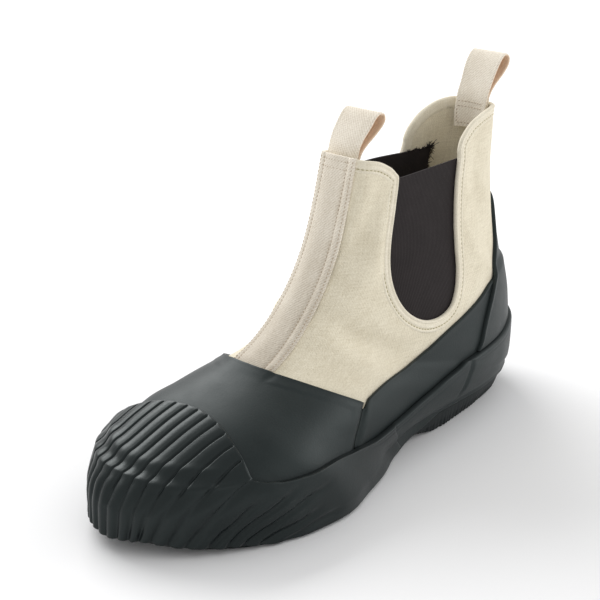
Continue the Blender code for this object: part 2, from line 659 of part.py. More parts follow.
def make_toe_guard():
    """Ribbed cap over the toe and the band round the front of the foot, moulded in one."""
    pitch = 2 * CAP_HALF / CAP_RIBS
    beat, crest = np.array([0.0, GROOVE_HALF, 1 - GROOVE_HALF]), np.array([0.0, 1.0, 1.0])
    ribs = CAP_HALF - pitch * (np.arange(CAP_RIBS)[:, None] + beat).ravel()
    lines = [cap_line(y) for y in [*ribs, -CAP_HALF]]
    cap = np.array([points for _, points in lines]).swapaxes(0, 1)
    first_x = FLANK_GROOVES[0][0]
    flank_x = [FOXING_SEAM_X + GAP + (first_x - FOXING_SEAM_X) * share for share in np.linspace(0, 0.88, 8)]
    flank_relief = [1.0] * len(flank_x)
    next_stops = [top_x for top_x, _ in FLANK_GROOVES[1:]] + [CAP_REAR_X]
    for (top_x, depth), next_x in zip(FLANK_GROOVES, next_stops):
        flank_x += [top_x - pitch * GROOVE_HALF, top_x, top_x + pitch * GROOVE_HALF]
        flank_x += [top_x + (next_x - top_x) * share for share in (0.37, 0.67)]
        flank_relief += [1.0, 1.0 - depth, 1.0, 1.0, 1.0]
    flank_x.append(CAP_REAR_X - pitch * GROOVE_HALF)
    flank_relief.append(1.0)
    columns = [guard_side(x, foxing_top(x), 1) for x in flank_x]
    columns += [guard_side(points[0][0], points[0][2], side) for side, points in lines]
    columns += [guard_side(x, foxing_top(x), -1) for x in flank_x[::-1]]
    cap_relief = [*np.tile(crest, CAP_RIBS), 0.0]
    relief = np.array([*flank_relief, *cap_relief, *flank_relief[::-1]])
    sides = np.array(columns).swapaxes(0, 1)
    points = np.vstack([sides.reshape(-1, 3), cap.reshape(-1, 3)])
    side_faces, cap_faces = grid_faces(*sides.shape[:2]), grid_faces(*cap.shape[:2])
    faces = np.vstack([side_faces[:, ::-1], cap_faces + sides[..., 0].size])
    rise = np.concatenate([np.tile(relief, len(sides)), np.tile(cap_relief, len(cap))])
    cap_ridges = CAP_RIDGES[:, None] * from_corners(np.array([*ribs, -CAP_HALF])) ** 0.5
    ridges = np.zeros(rise.shape)
    ridges[-cap_ridges.size:] = cap_ridges.ravel()
    ridges[len(flank_x):len(flank_x) + len(lines)] = cap_ridges[0]
    outside = GUARD_OUT - RIB_DEPTH * (1 - rise) + ridges
    body = thick_shell(points, split_short(points, faces), GUARD_IN, outside, LEVEL_BELOW)
    solid("toe_guard", *body, RUBBER, 0.45)


def outline_ring(turns, offset):
    """Outer and inner points of the sole line at the turns, moved out by an offset."""
    small = 1e-3
    sides = []
    for pick in (0, 1):
        def at(turn):
            x = HEEL_X + (TOE_X - HEEL_X) * (1 - np.cos(turn)) / 2
            return np.stack([x, _outline(np.clip(turn, 0, math.pi))[..., pick]], axis=-1)
        run = at(np.minimum(turns + small, math.pi)) - at(np.maximum(turns - small, 0))
        run /= np.linalg.norm(run, axis=1)[:, None]
        out = np.stack([-run[:, 1], run[:, 0]], axis=1) * (1 if pick == 0 else -1)
        sides.append(at(turns) + out * np.asarray(offset)[..., None])
    return sides


def plan_solid(name, turns, levels, colour, roughness):
    """Closed solid of the sole's outline through levels of offset and height, from the top down."""
    outer, inner = [], []
    for offset, z in levels:
        for ring, flat in zip((outer, inner), outline_ring(turns, offset)):
            ring.append(tucked(flat[:, 0], flat[:, 1], z))
    rings = np.array(outer + inner[::-1]).swapaxes(0, 1)
    closed = np.concatenate([rings, rings[:, :1]], axis=1)
    points, faces, _ = welded(closed.reshape(-1, 3), grid_faces(*closed.shape[:2]))
    return solid(name, points, faces, colour, roughness)


def sole_stations(*steps):
    """Turns along the sole, with a pair close round each step of its floor."""
    even = np.linspace(0, math.pi, 41)
    pairs = outline_turn(np.array([[x - GAP, x + GAP] for x in steps]).ravel())
    clear = [turn for turn in even if np.all(np.abs(pairs - turn) > 0.02)]
    turns = np.sort(np.concatenate([clear, pairs]))
    return turns, HEEL_X + (TOE_X - HEEL_X) * (1 - np.cos(turns)) / 2


def make_outsole():
    """Outsole with its heel block, arch and toe spring; grooves leave the lugs."""
    turns, x = sole_stations(HEEL_BREAST_X)
    floor_z = np.where(x < HEEL_BREAST_X, 0.0, sole_floor(x))
    step_z = foxing_foot(x) - GAP
    lip = SOLE_REACH + (HEEL_LIP - SOLE_REACH) * np.clip((HEEL_BREAST_X - x) / HEEL_LIP_RUN + 1, 0, 1)
    level = np.full(x.shape, SOLE_REACH)
    levels = ((level, sole_z(x) - GAP), (level, step_z), (lip, step_z), (lip, floor_z))
    outsole = plan_solid("outsole", turns, levels, RUBBER, 0.6)
    trim(outsole, groove_cutter(), "DIFFERENCE")


def groove_cutter():
    """Bars across the floor of the sole, one for each groove of the tread."""
    points, faces = [], []
    for x in (*HEEL_GROOVES, *BALL_GROOVES):
        corner = len(points)
        half = GROOVE_WIDTH / 2
        ends = [(a, b, c) for a in (-1, 1) for b in (-1, 1) for c in (FAR_LOW, GROOVE_DEPTH)]
        points += [(x + a * half, b * FAR_Y, c) for a, b, c in ends]
        quads = ((0, 1, 3, 2), (4, 6, 7, 5), (0, 4, 5, 1), (2, 3, 7, 6), (0, 2, 6, 4), (1, 5, 7, 3))
        faces += [[corner + k for k in quad] for quad in quads]
    return solid("groove_cutter", points, faces, RUBBER, 0.6)


def make_insole():
    turns, x = sole_stations()
    inset = np.full(x.shape, -(CANVAS_WALL + INSOLE_CLEAR))
    levels = ((inset, sole_z(x) + INSOLE_THICKNESS), (inset, sole_z(x)))
    plan_solid("insole", turns, levels, INSOLE, 0.9)


def rounded_path(points, count):
    """Evenly stepped curve through the points."""
    points = np.array(points)
    padded = np.vstack([2 * points[0] - points[1], points, 2 * points[-1] - points[-2]])
    where = np.linspace(0, len(points) - 1 - 1e-6, count)
    i, t = where.astype(int), (where % 1)[:, None]
    a, b, c, d = padded[i], padded[i + 1], padded[i + 2], padded[i + 3]
    return b + 0.5 * t * (c - a + t * (2 * a - 5 * b + 4 * c - d + t * (3 * (b - c) + d - a)))


def make_loop(name, path, middle_y, bow):
    """A band of tape bent over and held by both ends, bowed across where the collar holds it."""
    y = np.linspace(-LOOP_HALF, LOOP_HALF, 4)
    x, z = rounded_path(path, 23).T[..., None]
    held = np.clip((LOOP_FREE_Z - z) / LOOP_FREE_RUN, LOOP_FREE_BOW, 1.0)
    bent_x = x + bow * held * (y / LOOP_HALF) ** 2
    sheet = np.stack(np.broadcast_arrays(bent_x, middle_y + y, z), axis=-1)
    shell(name, sheet, -TAPE_THICKNESS / 2, TAPE_THICKNESS / 2, TAPE, 0.85)


def main():
    for old in list(bpy.data.objects):
        bpy.data.objects.remove(old)
    make_upper()
    make_gores()
    make_front_strip()
    make_vamp()
    make_quarter()
    make_counter()
    make_rear_foxing()
    make_toe_guard()
    make_outsole()
    make_insole()
    make_loop("pull_loop_front", FRONT_LOOP, FRONT_LOOP_Y, -LOOP_BOW)
    make_loop("pull_loop_back", BACK_LOOP, BACK_LOOP_Y, LOOP_BOW)


main()
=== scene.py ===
"""Looks of the left chelsea rain boot: canvas, tape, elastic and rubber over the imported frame.

The last's own functions and tables are repeated here, so that every dressed piece lies on the same skin as
its solid. Millimetres in the tables and in the points, in the last's frame; metres in the scene.
"""

import math

import bpy
import numpy as np
from mathutils import Matrix, Vector


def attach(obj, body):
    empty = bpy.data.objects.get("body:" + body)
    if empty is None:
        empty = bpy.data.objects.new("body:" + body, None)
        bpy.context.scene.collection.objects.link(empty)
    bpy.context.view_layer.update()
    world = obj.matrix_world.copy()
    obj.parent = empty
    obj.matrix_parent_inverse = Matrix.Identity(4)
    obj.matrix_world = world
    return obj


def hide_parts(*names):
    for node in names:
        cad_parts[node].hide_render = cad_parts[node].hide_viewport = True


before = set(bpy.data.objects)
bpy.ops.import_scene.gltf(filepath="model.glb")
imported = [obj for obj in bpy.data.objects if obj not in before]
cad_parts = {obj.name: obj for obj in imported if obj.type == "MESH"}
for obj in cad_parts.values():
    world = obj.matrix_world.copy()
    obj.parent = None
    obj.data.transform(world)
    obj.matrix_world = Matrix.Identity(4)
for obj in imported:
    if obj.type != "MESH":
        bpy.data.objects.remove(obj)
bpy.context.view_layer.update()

MM = 0.001
TINY = 1e-6
FRAME_SHIFT = np.array([8.15, -3.27, 0.0])

# Allowances measured square to the canvas, outwards
CANVAS_WALL = 1.6
GAP = 0.35
RUBBER_SHEET = 1.5
RUBBER_IN, RUBBER_OUT = GAP + 0.1, GAP + RUBBER_SHEET
BAND_OUT = 5.2
STRIP_IN, STRIP_OUT = GAP, GAP + 1.1
GORE_OUT, GORE_IN = -1.95, -3.25
GUARD_IN, GUARD_OUT = 3.0, 5.45
# Height below which the bands stand out level
LEVEL_BELOW = 15.5

# Foot of the last, seen from above. Columns: x, outer_y, inner_y
OUTLINE = (
    (-150.0, 0.0, 0.0),
    (-143.5, 14.5, -14.0),
    (-126.0, 26.5, -26.0),
    (-93.0, 31.5, -30.0),
    (-45.0, 31.5, -28.0),
    (-12.0, 36.0, -32.0),
    (18.0, 47.5, -39.5),
    (45.0, 54.5, -45.0),
    (70.0, 52.0, -46.5),
    (92.0, 43.5, -43.0),
    (109.0, 33.0, -36.0),
    (121.5, 22.0, -27.0),
    (130.5, 9.0, -17.0),
    (134.5, -4.0, -4.0),
)

# Section planes of the last, from above the collar to the tip of the toe
SECTION_COLUMNS = (
    "top_x", "top_z", "base_x", "base_z", "belly_half", "belly_at", "top_power", "base_power", "ridge_y",
)
SECTIONS = (
    (-27.0, 178.0, -136.0, 184.0, 17.0, 0.50, 6.0, 6.0, 0.0),
    (-20.5, 155.0, -134.5, 160.0, 17.5, 0.50, 6.0, 6.0, 0.0),
    (-14.0, 133.0, -135.0, 134.0, 20.0, 0.50, 4.2, 4.0, 0.0),
    (-6.0, 112.0, -137.0, 106.0, 25.0, 0.48, 3.0, 3.0, 0.0),
    (5.0, 94.0, -143.0, 80.0, 30.0, 0.45, 2.5, 2.5, 0.0),
    (19.0, 79.0, -149.0, 54.0, 34.5, 0.42, 2.3, 2.3, 0.0),
    (27.0, 73.0, -151.0, 34.0, 36.5, 0.42, 2.2, 2.2, 0.0),
    (34.0, 68.5, -150.0, 15.0, 38.0, 0.43, 2.2, 2.1, 0.0),
    (42.0, 64.0, -115.0, 14.6, 39.5, 0.45, 2.2, 2.0, 0.0),
    (50.0, 60.8, -70.0, 13.5, 41.0, 0.50, 2.2, 2.0, 0.0),
    (60.0, 58.0, -28.0, 11.5, 43.5, 0.50, 2.2, 2.0, 0.0),
    (72.0, 55.0, 10.0, 9.3, 46.0, 0.45, 2.3, 2.0, 0.0),
    (85.0, 51.3, 42.0, 8.5, 50.0, 0.35, 2.4, 2.0, -0.5),
    (97.0, 46.8, 70.0, 9.2, 49.3, 0.30, 2.35, 2.0, -1.0),
    (108.0, 41.4, 92.0, 10.5, 43.3, 0.30, 2.4, 2.0, -1.5),
    (117.0, 36.6, 109.0, 12.0, 34.5, 0.32, 2.5, 2.0, -2.0),
    (125.0, 31.5, 121.5, 13.0, 24.5, 0.35, 2.5, 2.0, -2.8),
    (131.5, 27.0, 130.5, 13.7, 13.0, 0.35, 2.5, 2.0, -3.6),
    (134.5, 21.5, 134.5, 14.0, 0.0, 0.35, 2.5, 2.0, -4.0),
)
HEEL_CORNER = 7
TOE_TIP = len(SECTIONS) - 1

# Side gores. Columns: z, front_x, back_x
GORE = (
    (141.0, -42.5, -95.0),
    (128.0, -38.5, -91.0),
    (112.0, -32.5, -86.5),
    (98.0, -29.5, -84.0),
    (86.0, -30.5, -82.5),
    (76.0, -35.5, -79.0),
    (69.0, -44.0, -73.5),
    (65.5, -54.0, -65.0),
)
GORE_UNDERLAP = 6.0
# Inner gore: its longer rear end, the heights that end starts between, and how its top hangs to the rear
INNER_GORE_REAR, INNER_GORE_TURN = -116.0, (92.0, 118.0)
INNER_GORE_DROP, INNER_GORE_DROP_RUN = 4.6, (55.0, 125.0)
# Frayed threads: seed, number, and how many of them stand along the top
FRAY_SEED, FRAY_THREADS, FRAY_ALONG_TOP = 7, 230, 150

# Collar line, from the gore to the pull loop. Columns: x, z
FRONT_TAB = ((-41.0, 144.5), (-36.5, 148.5), (-28.0, 152.5), (-14.0, 155.0))
BACK_TAB = ((-95.5, 146.0), (-99.5, 152.0), (-110.0, 158.5), (-124.0, 161.8), (-140.0, 163.0))

# Edges of the rubber, seen from the side. Columns: x, z
THROAT_X = 46.5
NOTCH = (10.5, 43.0)
SEAM_FOOT_X = 27.0
# End of the band round the heel, and how far it reaches on under the guard
FOXING_SEAM_X, FOXING_REACH = -14.0, 5.0
SEAM_GAP, SEAM_BOW = 0.6, 3.0
UNDERLAP = 8.0
QUARTER_EDGE = (
    (-150.0, 77.0), (-113.0, 70.5), (-98.5, 65.7), (-80.0, 60.6), (-65.0, 57.0), (-47.0, 52.0),
    (-32.0, 48.6), (-12.0, 46.5), (10.5, 43.0),
)
FOXING_TOP = (
    (-150.0, 44.0), (-132.0, 41.5), (-117.0, 39.0), (-83.0, 37.3), (-55.0, 33.7), (-34.0, 30.1),
    (-11.0, 26.4), (7.0, 24.5), (28.0, 26.4), (50.0, 28.8), (70.0, 29.8), (80.0, 30.4), (87.0, 31.5),
    (93.5, 33.4),
)
FOXING_FOOT = (
    (-150.0, 11.2), (-64.0, 11.0), (-45.0, 6.6), (-36.0, 5.4), (-28.0, 4.2), (-18.0, 1.8), (-8.0, 1.0),
    (85.0, 1.0), (110.0, 3.0), (134.5, 8.0),
)
SOLE_FLOOR = (
    (-46.0, 4.2), (-36.0, 3.2), (-28.0, 2.0), (-17.0, 0.0), (80.0, 0.0), (110.0, 2.0), (134.5, 7.0),
)

# Counter. Columns: z, depth of its front edge from the rearmost line
COUNTER_EDGE = (
    (37.5, 61.5), (41.8, 57.0), (48.0, 53.0), (57.0, 46.0), (67.0, 35.5), (77.0, 24.5), (91.0, 13.0),
    (104.0, 6.8), (111.0, 2.8), (114.0, 0.3),
)
COUNTER_RAMP, COUNTER_RAMP_RUN = 5.0, 4.0
# The counter's edge pressed through the band: x and z of its top, z of its foot, and its lean forward
PRESSED_X, PRESSED_TOP, PRESSED_FOOT, PRESSED_LEAN = -87.0, 44.0, 22.0, 0.6

# Toe guard
CAP_REAR_X, CAP_REAR_Z = 93.5, 33.4
CAP_ARCH, CAP_NOSE_Z = 8.0, 30.8
CAP_RIBS = 13
CAP_TURN = 0.2
# Grooves on its flanks. Columns: share of the full depth, then x, z of points down the groove
FLANK_GROOVES = (
    (1.4, (87.5, 28.1), (97.2, 22.1), (101.8, 15.3), (108.4, 7.2), (111.0, 3.0)),
    (1.4, (68.5, 28.2), (81.6, 23.7), (90.6, 17.3), (95.6, 13.0), (101.2, 6.6), (104.0, 2.5)),
    (1.3, (50.8, 22.5), (65.0, 20.5), (77.6, 16.3), (86.6, 10.4), (93.5, 6.3), (98.0, 2.5)),
    (1.1, (58.0, 13.4), (73.2, 8.6), (82.3, 6.1), (90.0, 2.5)),
    (0.7, (46.0, 8.0), (58.0, 6.4), (69.0, 4.4), (79.0, 1.5)),
)
GROOVE_HALF, WALL_GROOVE_HALF = 0.14, 0.32
FLANK_GROOVE_HALF, FLANK_GROOVE_FADE = 2.9, 0.3
RIB_DEPTH = 1.2
LEAN_TOE, LEAN_GAIN, LEAN_MOST = 0.3, 1.55, 3.3
LEAN_NEAR_TOE, LEAN_NEAR_SEAM, LEAN_BACK = 25.0, 40.0, 0.9
GUARD_END_X = -9.5
FLANK_COLUMNS = 117
GUARD_MIDDLE = (60.0, 0.0, 15.0)
WELD = 0.004
GUARD_FLARE, WAIST_FLARE = 1.3, 2.0

# Sole
HEEL_BREAST_X = -47.0
HEEL_TUCK = 5.0
HEEL_CENTRE_X, HEEL_RADIUS = -108.0, 39.0
HEEL_LIP, HEEL_LIP_RUN = 4.0, 12.0
SOLE_REACH = RUBBER_OUT + 0.2
INSOLE_THICKNESS = 4.0
INSOLE_CLEAR = 0.3
# Rounded edge of the insole. Columns: way in from its side, drop from its top
INSOLE_EDGE = ((6.0, 0.15), (1.2, 0.05), (0.3, 0.35), (0.0, 1.0))
GROOVE_DEPTH, GROOVE_WIDTH = 2.2, 3.4
HEEL_GROOVES = (-138.0, -124.5, -111.0, -97.5, -84.0, -70.5, -57.0)
BALL_GROOVES = (-4.0, 8.0, 20.0, 32.0, 44.0, 56.0, 68.0, 80.0, 92.0)
BALL_END, BAR_STEPS, BAR_LEAST = 12.0, 17, 2.0
HEEL_RISE, HEEL_RISE_RUN, TOOTH_PITCH, TOOTH_DEPTH, TREAD_DEPTH = 2.6, 12.0, 3.1, 0.75, 0.9

# Webbing
STRIP_TOP = 154.6
# Edges of the strip at its top and at the throat
STRIP_INNER_Y, STRIP_OUTER_Y = (-12.6, -14.0), (9.8, 11.8)
STRIP_TUCK, STRIP_EDGE = 4.0, 0.2
# Half width and middle of the loops, where they are sewn in and at the top
FRONT_LOOP_HALF, FRONT_LOOP_Y = (9.6, 10.9), (-3.2, -1.2)
BACK_LOOP_HALF, BACK_LOOP_Y = (9.8, 10.6), (1.0, 1.0)
LOOP_HALF = 10.0
TAPE_THICKNESS = 1.4
LOOP_BOW, LOOP_FREE_BOW, LOOP_FREE_Z, LOOP_FREE_RUN = 2.3, 0.2, 166.0, 10.0
FRONT_LOOP = (
    (-19.9, 143.5), (-23.4, 155.0), (-26.3, 161.0), (-30.0, 167.0), (-34.0, 172.0), (-37.8, 174.0),
    (-41.2, 172.8), (-41.4, 169.0), (-37.0, 163.5), (-31.0, 159.0), (-25.5, 154.0), (-22.0, 143.0),
)
BACK_LOOP = (
    (-131.7, 149.0), (-131.7, 163.5), (-133.6, 168.2), (-138.0, 172.5), (-144.0, 177.0), (-148.3, 181.8),
    (-148.3, 185.8), (-144.8, 187.4), (-141.0, 185.0), (-137.0, 179.5), (-133.2, 172.0), (-130.4, 166.0),
    (-129.8, 161.0), (-129.8, 148.0),
)

# Hem: a rolled rim, a flat fold and the trough that the stitches lie in
# Columns: distance in from the cut edge, height over the canvas
HEM_PROFILE = (
    (6.2, -0.35), (5.7, 0.1), (5.2, 0.34), (4.8, 0.26), (4.5, -0.08), (4.2, -0.3), (3.9, -0.04),
    (3.5, 0.36),
    (2.9, 0.48), (2.2, 0.44), (1.8, 0.26), (1.55, 0.22), (1.3, 0.42), (0.9, 0.72), (0.4, 0.76), (0.0, 0.54),
    (-0.35, 0.08), (-0.5, -0.6), (-0.4, -1.2), (-0.1, -1.65), (0.5, -1.88), (1.6, -1.92), (4.0, -1.92),
    (5.6, -1.85), (6.2, -1.5),
)
HEM_STITCH = 4.2

# Soft troughs and ridges of the canvas, at listed places
# Columns: x, z, long radius, short radius, slant in degrees, height, side
CANVAS_FOLDS = (
    (-19.0, 120.0, 24.0, 6.5, -56.0, -2.9, 1),
    (-21.0, 105.0, 28.0, 7.0, -54.0, 2.2, 1),
    (-8.0, 66.5, 24.0, 6.0, 34.0, -2.6, 1),
    (0.0, 57.0, 24.0, 5.5, 33.0, 1.1, 1),
    (-40.0, 56.0, 26.0, 4.5, -14.0, -1.2, 1),
    (-22.0, 137.0, 12.0, 6.0, -60.0, 0.9, 1),
    (-108.0, 118.0, 30.0, 6.0, 84.0, -1.1, 1),
    (-104.0, 86.0, 22.0, 6.0, 55.0, 1.2, 1),
    (-14.0, 108.0, 26.0, 6.5, -54.0, -1.3, -1),
    (-2.0, 72.0, 26.0, 6.0, 33.0, 1.1, -1),
    (-30.0, 60.0, 28.0, 5.0, -12.0, -1.0, -1),
    (-108.0, 110.0, 30.0, 6.0, 82.0, -0.9, -1),
)
FOLD_CLEAR, FOLD_BEND = 9.0, 0.006


def slopes(knots, values):
    """Slopes of a smooth curve through the values that never overshoots them."""
    step = np.diff(knots)
    rise = np.diff(values, axis=0) / step.reshape(-1, *([1] * (values.ndim - 1)))
    inner = np.zeros_like(values)
    same = rise[1:] * rise[:-1] > 0
    total = np.where(same, rise[1:] + rise[:-1], 1.0)
    inner[1:-1] = np.where(same, 2.0 * rise[1:] * rise[:-1] / total, 0.0)
    inner[0], inner[-1] = rise[0], rise[-1]
    return inner


def smooth(knots, values):
    """A function that runs smoothly through the values at the knots."""
    knots, values = np.asarray(knots, float), np.asarray(values, float)
    tilt = slopes(knots, values)

    def at(where):
        where = np.clip(np.asarray(where, float), knots[0], knots[-1])
        i = np.clip(np.searchsorted(knots, where, side="right") - 1, 0, len(knots) - 2)
        step = knots[i + 1] - knots[i]
        t = (where - knots[i]) / step
        if values.ndim > 1:
            step, t = step[..., None], t[..., None]
        return (
            (1 + 2 * t) * (1 - t) ** 2 * values[i] + t * (1 - t) ** 2 * step * tilt[i]
            + t * t * (3 - 2 * t) * values[i + 1] + t * t * (t - 1) * step * tilt[i + 1]
        )

    return at


def edge(rows):
    """Height along an edge that is given as x, z rows."""
    return smooth([x for x, _ in rows], [z for _, z in rows])


HEEL_X, TOE_X = OUTLINE[0][0], OUTLINE[-1][0]


def outline_turn(x):
    """Turn along the outline, 0 at the heel and pi at the toe, so that both ends close round."""
    share = np.clip((np.asarray(x, float) - HEEL_X) / (TOE_X - HEEL_X), 0.0, 1.0)
    return np.arccos(1.0 - 2.0 * share)


_outline = smooth(outline_turn([row[0] for row in OUTLINE]), [row[1:] for row in OUTLINE])
_section = smooth(np.arange(len(SECTIONS)), SECTIONS)
quarter_top, foxing_top, foxing_foot = edge(QUARTER_EDGE), edge(FOXING_TOP), edge(FOXING_FOOT)
sole_floor = edge(SOLE_FLOOR)
counter_depth = smooth([z for z, _ in COUNTER_EDGE], [depth for _, depth in COUNTER_EDGE])


def section_row(s):
    """The section's values at s, by name."""
    return dict(zip(SECTION_COLUMNS, np.moveaxis(_section(s), -1, 0)))


def outline(x):
    """Outer and inner y of the sole line at x."""
    pair = _outline(outline_turn(x))
    return pair[..., 0], pair[..., 1]


def skin(s, v, side):
    """Point of the last on section s, v of the way from its base to its top; side is +1 outer, -1 inner."""
    s, v, side = np.broadcast_arrays(np.asarray(s, float), np.asarray(v, float), np.asarray(side, float))
    row = section_row(s)
    outer_y, inner_y = outline(row["base_x"])
    on_sole = s > HEEL_CORNER
    base_half = np.where(on_sole, (outer_y - inner_y) / 2, 0.0)
    base_mid = np.where(on_sole, (outer_y + inner_y) / 2, 0.0)
    belly = np.maximum(row["belly_half"], base_half)
    power = row["base_power"]
    turned_under = 1 - (base_half / np.maximum(belly, TINY)) ** power
    low = np.clip(1 - v / row["belly_at"], 0, 1) ** power * turned_under
    high = np.clip((v - row["belly_at"]) / (1 - row["belly_at"]), 0, 1)
    crown = (1 - high ** row["top_power"]) ** (1 / row["top_power"])
    half = belly * (1 - low) ** (1 / power) * crown
    return np.stack(
        [
            mixed(row["base_x"], row["top_x"], v),
            mixed(base_mid, row["ridge_y"], v) + side * half,
            mixed(row["base_z"], row["top_z"], v),
        ],
        axis=-1,
    )


def section_share(s, v_turn):
    """v for an even turn round the section: 0 at the base, 1 at the belly, 2 at the top."""
    row = section_row(s)
    quarter = math.pi / 2
    low = 1 - np.cos(np.clip(v_turn, 0, 1) * quarter) ** (2 / row["base_power"])
    high = np.sin(np.clip(v_turn - 1, 0, 1) * quarter) ** (2 / row["top_power"])
    return row["belly_at"] * low + (1 - row["belly_at"]) * high


def share_at_width(s, half):
    """Share of section s, above its belly, where it is half wide each way."""
    row = section_row(s)
    narrow = np.clip(np.abs(half) / np.maximum(row["belly_half"], TINY), 0, 1) ** row["top_power"]
    return row["belly_at"] + (1 - row["belly_at"]) * (1 - narrow) ** (1 / row["top_power"])


def locate(x, z):
    """Section and share of the point of the side view at x, z."""
    x, z = np.broadcast_arrays(np.asarray(x, float), np.asarray(z, float))
    low, high = np.zeros(x.shape), np.full(x.shape, float(TOE_TIP))
    for _ in range(40):
        mid = (low + high) / 2
        top_x, top_z, base_x, base_z = np.moveaxis(_section(mid), -1, 0)[:4]
        behind = (top_x - base_x) * (z - base_z) - (top_z - base_z) * (x - base_x) > 0
        high, low = np.where(behind, mid, high), np.where(behind, low, mid)
    s = (low + high) / 2
    top_x, top_z, base_x, base_z = np.moveaxis(_section(s), -1, 0)[:4]
    run_x, run_z = top_x - base_x, top_z - base_z
    v = ((x - base_x) * run_x + (z - base_z) * run_z) / (run_x**2 + run_z**2)
    return s, np.clip(v, 0.0, 1.0)


_front_line = _section(np.linspace(0, TOE_TIP, 400))[:, :2]
_back_line = _section(np.linspace(0, HEEL_CORNER, 200))[:, 2:4]
_sole_line = _section(np.linspace(HEEL_CORNER, TOE_TIP, 200))[:, 2:4]


def back_x(z):
    """Rearmost x of the last at height z."""
    return np.interp(z, _back_line[::-1, 1], _back_line[::-1, 0])


def front_x(z):
    """Foremost x of the last at height z."""
    return np.interp(z, _front_line[::-1, 1], _front_line[::-1, 0])


def sole_z(x):
    """Height of the sole line at x."""
    return np.interp(x, _sole_line[:, 0], _sole_line[:, 1])


def tucked(x, y, z):
    """A point of the sole's wall, drawn in under the heel the lower it lies."""
    low = np.clip((sole_z(x) - z) / sole_z(x), 0, 1)
    draw = low * HEEL_TUCK / HEEL_RADIUS * np.clip((HEEL_CENTRE_X + HEEL_RADIUS - x) / HEEL_RADIUS, 0, 1)
    return np.stack([x - np.minimum(x - HEEL_CENTRE_X, 0) * draw, y * (1 - draw), z], axis=-1)


def wall(x, z, side):
    """Point of the last above x, z of the side view; under the sole line the wall drops straight down."""
    x, z = np.broadcast_arrays(np.asarray(x, float), np.asarray(z, float))
    outer_y, inner_y = outline(x)
    under = tucked(x, np.where(side > 0, outer_y, inner_y), z)
    return np.where((z < sole_z(x))[..., None], under, skin(*locate(x, z), side))


def solve(function, low, high):
    """Where a function that starts positive and falls crosses zero, for one value or for an array."""
    low, high = np.asarray(low, float), np.asarray(high, float)
    for _ in range(40):
        mid = (low + high) / 2
        above = function(mid) > 0
        low, high = np.where(above, mid, low), np.where(above, high, mid)
    return (low + high) / 2


def soft_step(value, low, high):
    """0 below low, 1 above high, and a soft rise between."""
    t = np.clip((np.asarray(value, float) - low) / (high - low), 0, 1)
    return t * t * (3 - 2 * t)


def bell(value, centre, half):
    """1 at the centre, falling softly to nothing half-widths away."""
    return np.exp(-(((np.asarray(value, float) - centre) / half) ** 2))


def mixed(first, second, share):
    """A value between two, by a share."""
    return first + (second - first) * share


def unit(vectors):
    """The vectors, each of length 1."""
    return vectors / np.maximum(np.linalg.norm(vectors, axis=-1), TINY)[..., None]


def lengths(points):
    """Length along a line of points, from its first, or down each column of a grid."""
    steps = np.linalg.norm(np.diff(points, axis=0), axis=-1)
    return np.concatenate([np.zeros((1, *steps.shape[1:])), np.cumsum(steps, axis=0)])


def from_foot(grid):
    """Length up each column of a grid of points, from its last row."""
    return lengths(grid[::-1])[::-1]


def from_ends(grid):
    """Length along each column of a grid of points, from its nearer end."""
    return np.minimum(lengths(grid), from_foot(grid))


def from_sides(grid):
    """Length along each row of a grid of points, from its nearer end."""
    return from_ends(grid.swapaxes(0, 1)).T


# Even way round the sections: 0 at the top, +1 at the outer base, -1 at the inner base
STATIONS = np.linspace(0, TOE_TIP, 271)
EVEN = np.linspace(0, 1, 161)
# Half steps of s and a that a normal is measured over
STEP_S, STEP_A = 0.03, 0.006


def even_shares():
    """Share of each station's section at even steps of its length, from its top to its base."""
    turns = np.linspace(2, 0, 1601)
    shares = []
    for s in STATIONS:
        v = section_share(np.full(turns.shape, s), turns)
        length = lengths(skin(s, v, 1))
        shares.append(np.interp(EVEN * length[-1], length, v))
    return np.array(shares)


SHARES = even_shares()


def station_blend(s):
    """Lower station of s, and how far s lies on towards the next."""
    at = np.clip(s, 0, TOE_TIP) / TOE_TIP * (len(STATIONS) - 1)
    i = np.minimum(at.astype(int), len(STATIONS) - 2)
    return i, at - i


def over(s, a):
    """Point of the last on section s, a of the way round from its top."""
    s, a = np.broadcast_arrays(np.asarray(s, float), np.asarray(a, float))
    a = np.where(np.abs(a) > 1, (a + 1) % 2 - 1, a)
    i, f = station_blend(s)
    at = np.abs(a) * (len(EVEN) - 1)
    j = np.minimum(at.astype(int), len(EVEN) - 2)
    g = at - j
    share = (1 - f) * ((1 - g) * SHARES[i, j] + g * SHARES[i, j + 1])
    share = share + f * ((1 - g) * SHARES[i + 1, j] + g * SHARES[i + 1, j + 1])
    return skin(s, share, np.where(a < 0, -1.0, 1.0))


def out_of(s, a):
    """Unit normal of the last at s, a, outwards."""
    s, a = np.broadcast_arrays(np.asarray(s, float), np.asarray(a, float))
    along = over(np.minimum(s + STEP_S, TOE_TIP), a) - over(np.maximum(s - STEP_S, 0), a)
    return unit(np.cross(along, over(s, a + STEP_A) - over(s, a - STEP_A)))


def on_skin(x, z, side):
    """s and a of the point of the side view at x, z."""
    s, v = locate(x, z)
    i, f = station_blend(s)
    rows = SHARES[i] * (1 - f)[..., None] + SHARES[i + 1] * f[..., None]
    k = np.clip((rows > v[..., None]).sum(axis=-1), 1, len(EVEN) - 1)
    high = np.take_along_axis(rows, (k - 1)[..., None], -1)[..., 0]
    low = np.take_along_axis(rows, k[..., None], -1)[..., 0]
    way = (k - 1 + (high - v) / np.maximum(high - low, 1e-15)) / (len(EVEN) - 1)
    return s, np.where(np.asarray(side) > 0, 1, -1) * np.clip(way, 0, 1)


def evenly(s, a, count):
    """The line s, a on the skin again, with its points even steps apart."""
    length = lengths(over(s, a))
    where = np.linspace(0, length[-1], count)
    return np.interp(where, length, s), np.interp(where, length, a)


